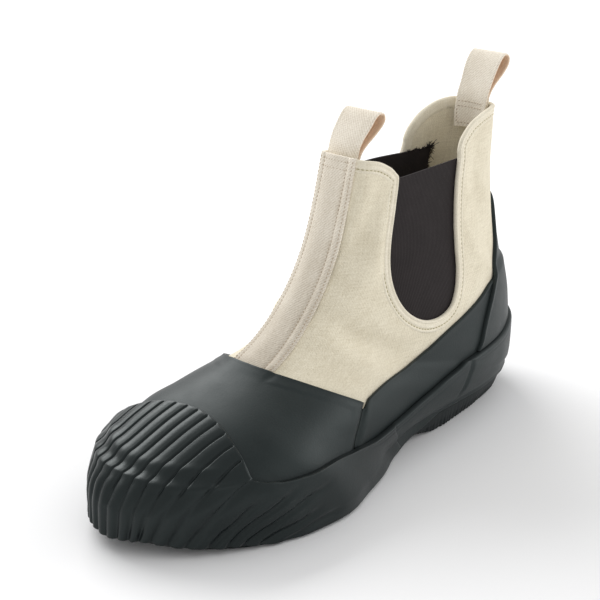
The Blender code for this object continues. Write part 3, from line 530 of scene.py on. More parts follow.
def rounded_path(points, count):
    """Curve through the points, evenly stepped between each two of them."""
    points = np.array(points, float)
    padded = np.vstack([2 * points[0] - points[1], points, 2 * points[-1] - points[-2]])
    where = np.linspace(0, len(points) - 1 - 1e-6, count)
    i, t = where.astype(int), (where % 1)[:, None]
    a, b, c, d = padded[i], padded[i + 1], padded[i + 2], padded[i + 3]
    return b + 0.5 * t * (c - a + t * (2 * a - 5 * b + 4 * c - d + t * (3 * (b - c) + d - a)))


# Meshes

RIM, RIM_LEFT = 0.8, 0.12
RIM_STEPS = np.array([0.0, 0.06, 0.16, 0.3, 0.5, 0.8, 1.3])


def rim_shares(length, count, first=True, last=True):
    """Shares of a run from 0 to 1, even but for the close steps at an end with a rolled rim."""
    close = RIM_STEPS / length
    low, high = (close[-1] if first else 0.0), (1 - close[-1] if last else 1.0)
    parts = [np.linspace(low, high, count)]
    if first:
        parts.insert(0, close[:-1])
    if last:
        parts.append(1 - close[:-1][::-1])
    return np.concatenate(parts)


def rolled(distance, radius=RIM):
    """Share of the full height that a rolled rim has at a distance from its edge."""
    near = 1 - np.clip(distance / radius, 0, 1)
    return np.sqrt(1 - near**2)


def raised(roll):
    """Share of a sheet's thickness, from how far its rim has rolled up; the cut edge keeps a little."""
    return RIM_LEFT + (1 - RIM_LEFT) * roll


def grid_quads(rows, columns, close_rows=False, close_columns=False):
    """Quads of a grid of points, counted along the rows."""
    i = np.arange(rows if close_rows else rows - 1)
    j = np.arange(columns if close_columns else columns - 1)
    i, j = np.meshgrid(i, j, indexing="ij")
    next_i, next_j = (i + 1) % rows, (j + 1) % columns
    ring = [i * columns + j, next_i * columns + j, next_i * columns + next_j, i * columns + next_j]
    return np.stack([corner.ravel() for corner in ring], axis=1)


def face_normals(points, quads):
    """Unit normals of the points, from the quads round each."""
    ring = points[quads]
    normal = np.cross(ring[:, 2] - ring[:, 0], ring[:, 3] - ring[:, 1])
    total = np.zeros_like(points)
    for corner in range(4):
        np.add.at(total, quads[:, corner], normal)
    return unit(total)


def border_edges(quads):
    """Edges that only one quad has, in that quad's own direction."""
    pairs = np.concatenate([quads[:, [k, (k + 1) % 4]] for k in range(4)])
    pairs = pairs[pairs[:, 0] != pairs[:, 1]]
    size = quads.max() + 1
    keys, back = pairs[:, 0] * size + pairs[:, 1], pairs[:, 1] * size + pairs[:, 0]
    return pairs[~np.isin(keys, back)]


def thick(points, quads, normal, inside, outside):
    """Closed shell over a sheet, between two allowances."""
    count = len(points)
    rim = border_edges(quads)
    sides = np.stack([rim[:, 1], rim[:, 0], rim[:, 0] + count, rim[:, 1] + count], axis=1)
    every = np.vstack([
        points + normal * np.broadcast_to(outside, count)[:, None],
        points + normal * np.broadcast_to(inside, count)[:, None],
    ])
    return every, np.vstack([quads, quads[:, ::-1] + count, sides])


def levelled(normal, height, below=LEVEL_BELOW):
    """The normals, turned level towards the height below."""
    flat = normal.copy()
    flat[:, 2] *= np.clip((height - below) / below, 0, 1)
    return unit(flat)


def joined(bodies):
    """Several bodies of points and quads as one."""
    counts = np.cumsum([0, *(len(points) for points, _ in bodies)])
    quads = [quads + count for (_, quads), count in zip(bodies, counts)]
    return np.vstack([points for points, _ in bodies]), np.vstack(quads)


def make_piece(name, points, quads, material, slot, nodes=(), cloth=None, sharp=55.0, marks=None):
    """A dressed piece that rides on the boot, from points in the last's frame."""
    used = np.unique(quads)
    index = np.full(len(points), -1)
    index[used] = np.arange(len(used))
    faces = []
    for quad in index[quads].tolist():
        ring = [k for n, k in enumerate(quad) if k != quad[n - 1]]
        if len(set(ring)) == len(ring) > 2:
            faces.append(ring)
    mesh = bpy.data.meshes.new(name)
    mesh.from_pydata(((points[used] + FRAME_SHIFT) * MM).tolist(), [], faces)
    mesh.shade_smooth()
    mesh.set_sharp_from_angle(angle=math.radians(sharp))
    if cloth is not None:
        flat = np.zeros((len(used), 3))
        flat[:, :2] = cloth[used]
        mesh.attributes.new("cloth", "FLOAT_VECTOR", "POINT").data.foreach_set("vector", flat.ravel())
    for mark, values in (marks or {}).items():
        mesh.attributes.new(mark, "FLOAT", "POINT").data.foreach_set("value", values[used].astype(float))
    mesh.materials.append(material)
    piece = bpy.data.objects.new(name, mesh)
    bpy.context.scene.collection.objects.link(piece)
    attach(piece, "root")
    if nodes:
        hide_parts(*nodes)


def cloth_of(sheet):
    """Way across and along a grid of points, in millimetres, for both faces of its shell."""
    across = lengths(sheet.swapaxes(0, 1)).T
    across = across - across[:, [sheet.shape[1] // 2]]
    return np.tile(np.stack([across, lengths(sheet)], axis=-1).reshape(-1, 2), (2, 1))


def sheet_piece(name, sheet, inside, outside, material, slot, nodes=(), level=False, marks=None):
    """A shell over a grid of points of the skin."""
    points = sheet.reshape(-1, 3)
    quads = grid_quads(*sheet.shape[:2])
    normal = face_normals(points, quads)
    if level:
        normal = levelled(normal, points[:, 2])
    inside = np.broadcast_to(inside, sheet.shape[:2]).ravel()
    outside = np.broadcast_to(outside, sheet.shape[:2]).ravel()
    body = thick(points, quads, normal, inside, outside)
    make_piece(name, *body, material, slot, nodes, cloth_of(sheet), marks=marks)


# Materials

NOISE_ROUGH, NOISE_RANGE = 0.55, (0.3, 0.7)


class Paint:
    """One procedural material, built node by node."""

    def __init__(self, name, roughness, **sockets):
        self.material = bpy.data.materials.new(name)
        self.material.use_nodes = True
        self.tree = self.material.node_tree
        self.shader = self.tree.nodes["Principled BSDF"]
        self.shader.inputs["Roughness"].default_value = roughness
        for socket, value in sockets.items():
            title = socket.replace("_", " ").title().replace("Ior", "IOR")
            self.shader.inputs[title].default_value = value

    def put(self, value, socket):
        """Sets a socket to a value, or links it to another socket."""
        if isinstance(value, bpy.types.NodeSocket):
            self.tree.links.new(value, socket)
        else:
            socket.default_value = value

    def node(self, kind, *values, **settings):
        """A new node with its settings, and with its first sockets set or linked."""
        node = self.tree.nodes.new("ShaderNode" + kind)
        for setting, value in settings.items():
            setattr(node, setting, value)
        for value, socket in zip(values, node.inputs):
            self.put(value, socket)
        return node

    def attribute(self, name, output="Fac"):
        return self.node("Attribute", attribute_name=name).outputs[output]

    def math(self, operation, first, second=0.0):
        return self.node("Math", first, second, operation=operation).outputs[0]

    def times(self, value, number):
        return self.math("MULTIPLY", value, number)

    def add(self, total, *values):
        for value in values:
            total = self.math("ADD", total, value)
        return total

    def weighed(self, *pairs):
        """The sum of values, each times its weight."""
        return self.add(*(self.times(value, weight) for value, weight in pairs))

    def held(self, value):
        """The value, held between 0 and 1."""
        return self.math("MINIMUM", self.math("MAXIMUM", value, 0.0), 1.0)

    def ways(self):
        """Way across and along the cloth, in millimetres."""
        return self.node("SeparateXYZ", self.attribute("cloth", "Vector")).outputs[:2]

    def stretched(self, across, along):
        """The cloth's ways, each divided by its own size."""
        cloth, shares = self.attribute("cloth", "Vector"), (1 / across, 1 / along, 1.0)
        return self.node("VectorMath", cloth, shares, operation="MULTIPLY").outputs[0]

    def wave(self, way, pitch):
        """A wave along a way, with one crest in each pitch."""
        return self.math("SINE", self.times(way, 2 * math.pi / pitch))

    def noise(self, size, detail=3.0, vector=None):
        """Noise with features of about a size in the vector's own unit; metres of the boot without one."""
        node = self.node("TexNoise")
        node.inputs["Scale"].default_value = 1 / size
        node.inputs["Detail"].default_value = detail
        node.inputs["Roughness"].default_value = NOISE_ROUGH
        vector = self.node("TexCoord").outputs["Object"] if vector is None else vector
        self.put(vector, node.inputs["Vector"])
        return node.outputs["Fac"]

    def span(self, value, low, high, to_low=0.0, to_high=1.0):
        return self.node("MapRange", value, low, high, to_low, to_high).outputs[0]

    def swing(self, noise, to_low, to_high):
        """A noise, spread from its usual range to another."""
        return self.span(noise, *NOISE_RANGE, to_low, to_high)

    def blend(self, share, first, second):
        """A colour between two, by a share."""
        node = self.node("Mix", share, data_type="RGBA")
        for value, socket in zip((first, second), node.inputs[6:8]):
            self.put(value if isinstance(value, bpy.types.NodeSocket) else (*value, 1.0), socket)
        return node.outputs[2]

    def colour(self, value):
        self.put(value, self.shader.inputs["Base Color"])

    def dull(self, value):
        self.put(value, self.shader.inputs["Roughness"])

    def relief(self, height, millimetres, strength):
        """Bumps of a height in the shader's normal."""
        node = self.node("Bump")
        node.inputs["Strength"].default_value = strength
        node.inputs["Distance"].default_value = millimetres * MM
        self.put(height, node.inputs["Height"])
        self.put(node.outputs["Normal"], self.shader.inputs["Normal"])


def weave_paint(name, light, dark, thread, cloudy, bump):
    """Plain-woven cotton: threads over and under, slubs along both ways, and faint clouds of colour."""
    paint = Paint(name, 0.88, specular_ior_level=0.2, sheen_weight=0.12, sheen_roughness=0.6)
    across, along = paint.ways()
    threads = paint.math("MULTIPLY", paint.wave(across, 2 * thread), paint.wave(along, 2 * thread))
    slubs = paint.add(*(paint.noise(1.0, 2.0, paint.stretched(*size)) for size in ((9.0, 0.9), (0.9, 9.0))))
    fuzz = paint.noise(0.0007, 2.0)
    share = paint.add(
        paint.span(slubs, 0.7, 1.3, 0.0, 0.45), paint.swing(paint.noise(0.018), -cloudy, cloudy),
        paint.span(threads, -1, 1, 0.0, 0.18), paint.swing(fuzz, -0.12, 0.3),
    )
    paint.colour(paint.blend(paint.held(share), dark, light))
    paint.relief(paint.weighed((threads, 0.22), (slubs, 0.9), (fuzz, 1.1)), bump, 0.7)
    return paint.material


def tape_paint():
    """Twill webbing: slanting lines close together, with a soft nap; painted shade darkening the strip
    towards the throat, and painted tan shade inside the loops' tops.
    """
    paint = Paint("tape_twill", 0.86, specular_ior_level=0.2, sheen_weight=0.2, sheen_roughness=0.5)
    across, along = paint.ways()
    slant = paint.wave(paint.add(across, paint.times(along, 0.8)), 1.5)
    rungs = paint.wave(along, 0.85)
    slubs = paint.noise(1.0, 2.0, paint.stretched(0.8, 5.0))
    specks = paint.noise(1.0, 1.0, paint.stretched(1.1, 0.8))
    height = paint.weighed((slant, 0.18), (rungs, 0.15), (slubs, 0.5), (specks, 0.9))
    cloud = paint.swing(paint.noise(0.014, 2.0), -0.12, 0.2)
    share = paint.held(paint.add(paint.span(height, 0.3, 1.1, 0.0, 0.9), cloud))
    # Painted shade: the strip's tape is blended towards a darker tone of itself, more so towards the
    # throat.
    unshaded_tape_tone = paint.blend(share, (0.68, 0.60, 0.48), (0.97, 0.905, 0.79))
    shaded_tape_tone = paint.blend(share, (0.40, 0.345, 0.27), (0.64, 0.58, 0.485))
    tape = paint.blend(paint.attribute("painted_strip_shade"), unshaded_tape_tone, shaded_tape_tone)
    # Painted shade: the inner faces of the loops' tops are blended towards tan, for the warm shade inside
    # the bend.
    paint.colour(paint.blend(paint.times(paint.attribute("painted_loop_shade"), 0.75), tape, (0.72, 0.50, 0.33)))
    paint.relief(height, 0.2, 0.8)
    return paint.material


def elastic_paint():
    """Ribbed elastic: fine ribs up the panel, crossed by finer threads."""
    paint = Paint("gore_elastic", 0.8, specular_ior_level=0.16, sheen_weight=0.05, sheen_roughness=0.5)
    across, along = paint.ways()
    ribs, threads, fuzz = paint.wave(across, 1.15), paint.wave(along, 0.7), paint.noise(0.0008, 2.0)
    height = paint.weighed((ribs, 0.28), (threads, 0.15), (fuzz, 0.7))
    share = paint.add(paint.span(height, -0.3, 1.0), paint.swing(paint.noise(0.012, 2.0), -0.15, 0.15))
    paint.colour(paint.blend(paint.held(share), (0.013, 0.0100, 0.0102), (0.026, 0.0205, 0.021)))
    paint.relief(height, 0.18, 0.8)
    return paint.material


def rubber_paint(name, dark, light, shine, grain, gloss=0.27):
    """Moulded rubber: a fine matt grain, with blooms where it is duller and paler."""
    paint = Paint(name, shine, specular_ior_level=gloss, specular_tint=(0.88, 1.0, 0.99, 1.0))
    bloom, fine, pores = paint.noise(0.022, 4.0), paint.noise(0.0009), paint.noise(0.0035, 2.0)
    share = paint.add(paint.swing(bloom, 0.1, 0.75), paint.swing(fine, -0.15, 0.15))
    paint.colour(paint.blend(paint.math("MAXIMUM", share, 0.0), dark, light))
    paint.dull(paint.add(paint.swing(bloom, shine - 0.05, shine + 0.06), paint.swing(fine, -0.03, 0.03)))
    paint.relief(paint.add(fine, paint.times(pores, 0.6)), grain, 0.6)
    return paint.material


CANVAS = weave_paint("canvas_weave", (0.93, 0.865, 0.70), (0.66, 0.59, 0.44), 0.75, 0.12, 0.24)
# The hem's weave is a paler copy of the canvas's: painted highlight on the folded rim all round the collar
# and gores.
HEM = weave_paint("hem_weave_painted_highlight", (0.94, 0.88, 0.74), (0.72, 0.655, 0.51), 0.75, 0.1, 0.18)
TAPE = tape_paint()
ELASTIC = elastic_paint()
RUBBER = rubber_paint("rubber_sheet", (0.009, 0.0125, 0.0128), (0.017, 0.0220, 0.0222), 0.47, 0.10)
# The guard's rubber is the sheet's rubber painted darker: painted shade on the toe's front and side walls.
GUARD = rubber_paint("rubber_guard_painted_shade", (0.005, 0.0074, 0.0078), (0.010, 0.0134, 0.0137), 0.37, 0.08, 0.3)
SOLE = rubber_paint("sole_rubber", (0.006, 0.007, 0.0075), (0.013, 0.015, 0.016), 0.62, 0.16)
FOOTBED = weave_paint("footbed_cloth", (0.62, 0.57, 0.46), (0.48, 0.43, 0.33), 0.9, 0.1, 0.16)
THREAD = weave_paint("stitch_thread", (0.48, 0.43, 0.26), (0.36, 0.32, 0.18), 0.3, 0.1, 0.05)
TAPE_THREAD = weave_paint("tape_thread", (0.56, 0.46, 0.34), (0.44, 0.35, 0.25), 0.3, 0.1, 0.05)


# Canvas


def collar_line():
    """The cut edge of one side, as s and a, from the front's middle round the gore to the back's middle."""
    def across(rows, ways):
        height = edge(rows)

        def gap(s):
            point = over(s, ways)
            return point[..., 2] - height(point[..., 0])
        return solve(gap, np.zeros(ways.shape), np.full(ways.shape, 3.0))

    front_join, back_join = on_skin(*FRONT_TAB[1], 1)[1], on_skin(*BACK_TAB[1], 1)[1]
    front_a, back_a = np.linspace(0, front_join, 60), np.linspace(back_join, 1, 60)
    gore = [*((x, z) for z, x, _ in GORE), *((x, z) for z, _, x in GORE[::-1])]
    middle = [*FRONT_TAB[1::-1], *gore, *BACK_TAB[:2]]
    steps = 40
    path = rounded_path([FRONT_TAB[2], *middle, BACK_TAB[2]], steps * (len(middle) + 1) + 1)[steps:-steps]
    middle_s, middle_a = on_skin(path[:, 0], path[:, 1], 1)
    s = np.concatenate([across(FRONT_TAB, front_a)[:-1], middle_s, across(BACK_TAB[::-1], back_a)[1:]])
    return s, np.concatenate([front_a[:-1], middle_a, back_a[1:]])


def inside_ring(x, z, ring):
    """Whether points of the side view lie inside a ring of points."""
    inside = np.zeros(x.shape, bool)
    for (ax, az), (bx, bz) in zip(ring, np.roll(ring, -1, axis=0)):
        crosses = (az > z) != (bz > z)
        meets = ax + (z - az) * (bx - ax) / (bz - az if bz != az else TINY)
        inside ^= crosses & (x < meets)
    return inside


def nearest(points, line):
    """Distance of each point from the nearest point of a line of points."""
    return np.concatenate([
        np.linalg.norm(part[:, None] - line[None], axis=-1).min(axis=1)
        for part in np.array_split(points, 60)
    ])


def fold_height(points, side):
    """Height of the listed folds at points of the skin."""
    total = np.zeros(len(points))
    for x, z, long, short, slant, height, fold_side in CANVAS_FOLDS:
        turn = math.radians(slant)
        along = (points[:, 0] - x) * math.cos(turn) + (points[:, 2] - z) * math.sin(turn)
        across = (points[:, 2] - z) * math.cos(turn) - (points[:, 0] - x) * math.sin(turn)
        bend = across - FOLD_BEND * along**2
        total += height * np.exp(-((along / long) ** 2) - (bend / short) ** 2) * (side == fold_side)
    return total


COLLAR_S, COLLAR_A = evenly(*collar_line(), 420)


def make_canvas():
    """The canvas, with the cut-outs; its raw edges lie under the hem."""
    shaft = np.linspace(0.3, HEEL_CORNER, 100)
    foot = np.linspace(HEEL_CORNER, TOE_TIP - 0.4, 76)[1:]
    s, a = np.concatenate([shaft, foot]), np.linspace(-1, 1, 161)
    sheet = over(s[:, None], a)
    points = sheet.reshape(-1, 3)
    quads = grid_quads(*sheet.shape[:2])
    normal = out_of(*np.meshgrid(s, a, indexing="ij")).reshape(-1, 3)
    line = over(COLLAR_S, COLLAR_A)
    back, top, front = line[-1, 0] - 30, 230, 60
    above = [(back, line[-1, 2]), (back, top), (front, top), (front, line[0, 2])]
    cut = inside_ring(points[:, 0], points[:, 2], np.vstack([line[:, [0, 2]], above]))
    distance = nearest(points, np.vstack([line, line * (1, -1, 1)]))
    keep = ~cut & (distance > 0.7)
    quads = quads[keep[quads].all(axis=1)]
    side = np.tile(np.where(a < 0, -1, 1), len(s))
    folds = fold_height(points, side) * soft_step(distance, 2.0, FOLD_CLEAR)
    body = thick(points + normal * folds[:, None], quads, normal, -CANVAS_WALL, 0.0)
    make_piece("canvas_upper", *body, CANVAS, "canvas", ("upper",), cloth_of(sheet))


def collar_loop():
    """The whole cut edge, round both sides: points, and directions outwards and into the canvas."""
    s = np.concatenate([COLLAR_S, COLLAR_S[-2:0:-1]])
    a = np.concatenate([COLLAR_A, -COLLAR_A[-2:0:-1]])
    points, normal = over(s, a), out_of(s, a)
    along = unit(np.roll(points, -1, axis=0) - np.roll(points, 1, axis=0))
    return points, normal, unit(np.cross(along, normal))


def make_hem():
    """Folded rim all round the collar and the gores."""
    points, normal, inwards = collar_loop()
    profile = np.array(HEM_PROFILE)
    sheet = points[:, None] + inwards[:, None] * profile[:, :1] + normal[:, None] * profile[:, 1:]
    quads = grid_quads(*sheet.shape[:2], close_rows=True, close_columns=True)
    ways = np.broadcast_arrays(lengths(points)[:, None], lengths(profile))
    cloth = np.stack(ways, axis=-1).reshape(-1, 2)
    make_piece("canvas_hem", sheet.reshape(-1, 3), quads, HEM, "canvas", (), cloth, sharp=80.0)


# Elastic


def inner_drop(x):
    """How far the inner gore's top edge hangs below the outer one's."""
    return INNER_GORE_DROP * soft_step(-x, *INNER_GORE_DROP_RUN)


def make_gore(name, node, side):
    """Elastic panel behind the canvas, larger than the opening all round."""
    rows = np.array(GORE)
    drop = np.zeros(len(rows))
    drop[-2:] = 0.5 * GORE_UNDERLAP, GORE_UNDERLAP
    z_of = rows[:, 0] - drop
    front = smooth(z_of[::-1], (rows[:, 1] + GORE_UNDERLAP)[::-1])
    rear = rows[:, 2] - GORE_UNDERLAP
    if side < 0:
        rear = mixed(rear, INNER_GORE_REAR, soft_step(rows[:, 0], *INNER_GORE_TURN))
    back = smooth(z_of[::-1], rear[::-1])
    up = rim_shares(82.0, 60)
    z = mixed(z_of[-1], z_of[0], up)[::-1, None]
    x = mixed(front(z), back(z), rim_shares(60.0, 50))
    if side < 0:
        x = x[:, ::-1]
        z = z - inner_drop(x) * up[::-1, None] ** 3
    sheet = wall(x, z + 0 * x, side)
    sides = from_sides(sheet)
    slack = 0.25 * soft_step(sides, 4, 22) * np.sin(z * 0.12 + 1.0) * soft_step(z, 70, 130)
    middle = (GORE_IN + GORE_OUT) / 2 - slack
    half = (GORE_OUT - GORE_IN) / 2 * (0.25 + 0.75 * rolled(np.minimum(from_ends(sheet), sides), 0.6))
    sheet_piece(name, sheet, middle - half, middle + half, ELASTIC, "elastic", (node,))


def tube(path, radius, sides=5):
    """Points and quads of a thin tube along a path that narrows to its end."""
    along = unit(np.gradient(path, axis=0))
    across = unit(np.cross(along, (0.31, 0.2, 0.93)))
    other = np.cross(along, across)
    turn = np.linspace(0, 2 * math.pi, sides, endpoint=False)
    thin = radius * np.linspace(1, 0.45, len(path))[:, None, None]
    ring = across[:, None] * np.cos(turn)[:, None] + other[:, None] * np.sin(turn)[:, None]
    return (path[:, None] + ring * thin).reshape(-1, 3), grid_quads(len(path), sides, close_columns=True)


def make_fray():
    """Loose threads at the raw rear corner of the inner gore, inside the collar."""
    random = np.random.default_rng(FRAY_SEED)
    top_z = GORE[0][0]
    threads = []
    for k in range(FRAY_THREADS):
        along_top, at_corner = k < FRAY_ALONG_TOP, k % 3 == 0
        if along_top:
            x = INNER_GORE_REAR + (4.0 if at_corner else 20.0) * random.random() ** 1.3
            z = top_z - inner_drop(x) - 0.4
            way = np.array([-0.7 if at_corner else -0.35, 0.0, 0.9])
        else:
            x = INNER_GORE_REAR + 0.5
            z = top_z - inner_drop(INNER_GORE_REAR) - (3.0 if at_corner else 12.0) * random.random()
            way = np.array([-1.0, 0.0, 0.3])
        s, a = on_skin(np.array(x), np.array(z), -1)
        inward = -out_of(s, a)
        start = over(s, a) - inward * (GORE_IN + 0.6)
        length = (1.4 + 3.0 * random.random()) if at_corner else (0.7 + 1.3 * random.random())
        way = unit(way + random.normal(0, 0.4, 3) + inward * (0.2 + 0.4 * random.random()))
        curl = random.normal(0, 0.75, 3)
        t = np.linspace(0, 1, 6)[:, None]
        path = start + way * length * t + curl * length * 0.5 * t**2
        threads.append(tube(path, 0.17 + 0.1 * random.random()))
    points, quads = joined(threads)
    make_piece("gore_fray", points, quads, ELASTIC, "elastic", (), points[:, [0, 2]])


# Tape


def strip_ends():
    """First and last section of the front strip; the last lies under the vamp."""
    first = solve(lambda s: _section(s)[..., 1] - STRIP_TOP, 0, HEEL_CORNER)
    last = solve(lambda s: THROAT_X + STRIP_TUCK - _section(s)[..., 0], 0, 12)
    return float(first), float(last)


def strip_edges(s):
    """Inner and outer y of the strip at the sections s."""
    first, last = strip_ends()
    down = soft_step(s, first, last)
    return mixed(*STRIP_INNER_Y, down), mixed(*STRIP_OUTER_Y, down)


def strip_point(s, y):
    """Point of the skin under the strip, on section s at y."""
    return skin(s, share_at_width(s, y), np.where(y < 0, -1.0, 1.0))


# Rows of stitches along the strip, from its edges: in its troughs and along its selvages
OUTER_TROUGH, INNER_TROUGH, SELVAGE = 4.7, 3.6, 1.2


def strip_height(from_inner, from_outer):
    """Height over the strip's own thickness: a puffed band, a trough each side and a raised selvage."""
    puff = 0.95 * bell(from_outer, 13.0, 5.2)
    outer = -0.7 * bell(from_outer, OUTER_TROUGH, 1.0) + 0.45 * bell(from_outer, 2.2, 1.5)
    return puff + outer - 0.34 * bell(from_inner, INNER_TROUGH, 0.7) + 0.15 * bell(from_inner, 1.8, 1.2)


def make_strip():
    """Tape down the front, tucked under the vamp."""
    s = mixed(*strip_ends(), rim_shares(115.0, 170))[:, None]
    inner, outer = strip_edges(s)
    y = mixed(inner, outer, rim_shares(24.0, 84))
    sheet = strip_point(s + 0 * y, y)
    to_top = lengths(sheet)
    rim = np.minimum(np.minimum(to_top, y - inner), outer - y)
    soft = 0.14 * np.sin(to_top * 0.19 + 0.6) * bell(y, 0, 6)
    pressed = 0.45 + 0.55 * soft_step(from_foot(sheet), 3.0, 9.0)
    height = (STRIP_OUT - STRIP_IN - STRIP_EDGE + strip_height(y - inner, outer - y) + soft) * pressed
    outside = STRIP_IN + STRIP_EDGE + height * rolled(rim, 0.6)
    # Painted shade: the share of the darker tape tone grows down the strip towards the throat.
    marks = {"painted_strip_shade": np.tile((0.12 + 0.63 * soft_step(to_top, 10.0, 120.0)).ravel(), 2)}
    sheet_piece("front_tape", sheet, STRIP_IN - 0.25, outside, TAPE, "tape", ("front_strip",), marks=marks)


def loop_sheet(path, halves, middles, bow, rows, columns):
    """Middle sheet of a loop of tape, and the way across it."""
    across = 2 * rim_shares(2 * LOOP_HALF, columns) - 1
    line = rounded_path(path, 12 * rows)
    length = lengths(line)
    where = np.linspace(0, length[-1], rows)
    x, z = (np.interp(where, length, line[:, k])[:, None] for k in (0, 1))
    free = soft_step(z, line[:, 1].max() - 18.0, line[:, 1].max() - 3.0)
    half, middle = mixed(*halves, free), mixed(*middles, free)
    held = np.clip((LOOP_FREE_Z - z) / LOOP_FREE_RUN, LOOP_FREE_BOW, 1.0)
    sheet = np.broadcast_arrays(x + bow * held * across**2, middle + half * across, z)
    return np.stack(sheet, axis=-1), across


def make_loop(name, node, path, halves, middles, bow):
    """A band of tape bent over, with rounded selvages."""
    sheet, across = loop_sheet(path, halves, middles, bow, 150, 30)
    rim = (1 - np.abs(across)) * LOOP_HALF
    half = TAPE_THICKNESS / 2 * (0.3 + 0.7 * rolled(rim, 0.7)) - 0.16 * bell(rim, 1.9, 0.5)
    half = np.broadcast_to(half, sheet.shape[:2])
    top = sheet[..., 2].max()
    # Painted shade: the top of each loop's inner face is marked for the tan of the shade inside the bend.
    painted_loop_shade = soft_step(sheet[..., 2], top - 26.0, top - 16.0).ravel()
    faces = (0 * painted_loop_shade, painted_loop_shade) if bow > 0 else (painted_loop_shade, 0 * painted_loop_shade)
    sheet_piece(name, sheet, -half, half, TAPE, "tape", (node,), marks={"painted_loop_shade": np.concatenate(faces)})


# Rubber sheets

# How far the sheets' undersides reach in past their allowance, so that no slit shows
SHEET_SINK = 0.3
SHEET_SEAT, SHEET_RIM, SHEET_LIP = RUBBER_IN - SHEET_SINK, 0.7, 0.25
SEAM_ROUND = (-0.6, 4.2)
VAMP_END_S = 16.4
BAND_SEAT, BAND_RIM = GUARD_IN - 0.6, 0.9
CORNER_ROUND = 2.2


def throat_line():
    """Ends of the throat, seen from the side: on the instep, and at the notch low on the side."""
    throat_z = float(_section(solve(lambda s: THROAT_X - _section(s)[..., 0], 0, TOE_TIP))[1])
    return np.array([THROAT_X, throat_z]), np.array(NOTCH)


def make_vamp():
    """Rubber sheet from the throat forward, pressed over the end of the tape and over the canvas's edge."""
    throat, notch = throat_line()
    foot = np.array([SEAM_FOOT_X, foxing_top(SEAM_FOOT_X) - UNDERLAP])
    t = np.linspace(0, 1, 300)[:, None]
    down = mixed(notch, foot, t)
    down[:, 0] = seam_x(down[:, 1])
    top_s, top_a = on_skin(*mixed(throat, notch, t**2).T, 1)
    top_a[0] = 0.0
    top_s, top_a = evenly(top_s, top_a, 70)
    down_s, down_a = evenly(*on_skin(*down.T, 1), 26)
    start_s, start_a = np.concatenate([top_s, down_s[1:]]), np.concatenate([top_a, down_a[1:]])
    start_s = np.concatenate([start_s[:0:-1], start_s])
    start_a = np.concatenate([-start_a[:0:-1], start_a])
    end_a = np.sign(start_a) * np.abs(start_a) ** 0.9
    way = rim_shares(110.0, 90, last=False)[:, None]
    sheet = over(mixed(start_s, VAMP_END_S, way), mixed(start_a, end_a, way))
    rim = lengths(sheet)
    y = sheet[..., 1]
    over_tape = soft_step(y - STRIP_INNER_Y[1], -3.0, 1.0) * soft_step(STRIP_OUTER_Y[1] - y, -3.0, 1.0)
    over_tape = over_tape * (0.25 + 0.75 * soft_step(9.0 - rim, 0, 8.0)) * soft_step(16.0 - rim, 0, 10.0)
    lap = soft_step(9.6 - rim, 0, 1.4) * soft_step(np.abs(y), 13.0, 17.0)
    on_seam = soft_step(np.abs(np.arange(len(start_s)) - len(start_s) // 2), 66, 72)
    roll = rolled(rim, SHEET_RIM) * (1 - on_seam) + soft_step(rim, *SEAM_ROUND) * on_seam
    height = RUBBER_OUT - RUBBER_IN + 0.32 * lap + SHEET_LIP * bell(rim, 0.9, 0.7)
    outside = RUBBER_IN + 0.72 * over_tape + height * raised(roll)
    sheet_piece("vamp_sheet", sheet, SHEET_SEAT, outside, RUBBER, "rubber", ("vamp_rubber",))


SEAM_CLOSE = np.array([0.0006, 0.0015, 0.003, 0.005, 0.0075, 0.011])


def heel_wrap(start_x, foot, top, rise, columns):
    """Grid round the heel, from the outer side to the inner; the columns crowd to the heel's back."""
    crowd = np.append((1 - np.linspace(0, 1, columns)) ** 1.7, 1 - SEAM_CLOSE)
    crowd = np.sort(crowd)[::-1]
    x = HEEL_X + crowd * (FOXING_SEAM_X - HEEL_X) + 0 * rise[:, None]
    for _ in range(6):
        z = mixed(foot(x), top(x), rise[:, None])
        x = mixed(back_x(z), start_x(z), crowd)
    return np.concatenate([wall(x, z, 1), wall(x, z, -1)[:, -2::-1]], axis=1)


def seam_x(z):
    """The seam between vamp and quarter at height z, bowed forward."""
    down = np.clip((NOTCH[1] - z) / (NOTCH[1] - foxing_top(SEAM_FOOT_X) + UNDERLAP), 0, 1)
    return mixed(NOTCH[0], SEAM_FOOT_X, down) + SEAM_BOW * np.sin(math.pi * down)


def quarter_edge(x):
    """Top of the quarter, rounded down to the seam at its front corner."""
    return quarter_top(x) - CORNER_ROUND * soft_step(x, NOTCH[0] - 7.0, NOTCH[0] + 1.0) ** 2


def make_quarter():
    """Rubber strip from the vamp's seam round the heel."""
    rise = rim_shares(28.0, 26, first=False)[::-1]
    sheet = heel_wrap(
        lambda z: seam_x(z) - SEAM_GAP, lambda x: foxing_top(x) - UNDERLAP, quarter_edge, rise, 150,
    )
    rim, from_seam = lengths(sheet), from_sides(sheet)
    lip = SHEET_LIP * (bell(rim, 0.9, 0.7) + bell(from_seam, 5.0, 2.2))
    roll = np.minimum(rolled(rim, SHEET_RIM), soft_step(from_seam, *SEAM_ROUND))
    outside = RUBBER_IN + (RUBBER_OUT - RUBBER_IN + lip) * raised(roll)
    sheet_piece("quarter_sheet", sheet, SHEET_SEAT, outside, RUBBER, "rubber", ("quarter_rubber",))


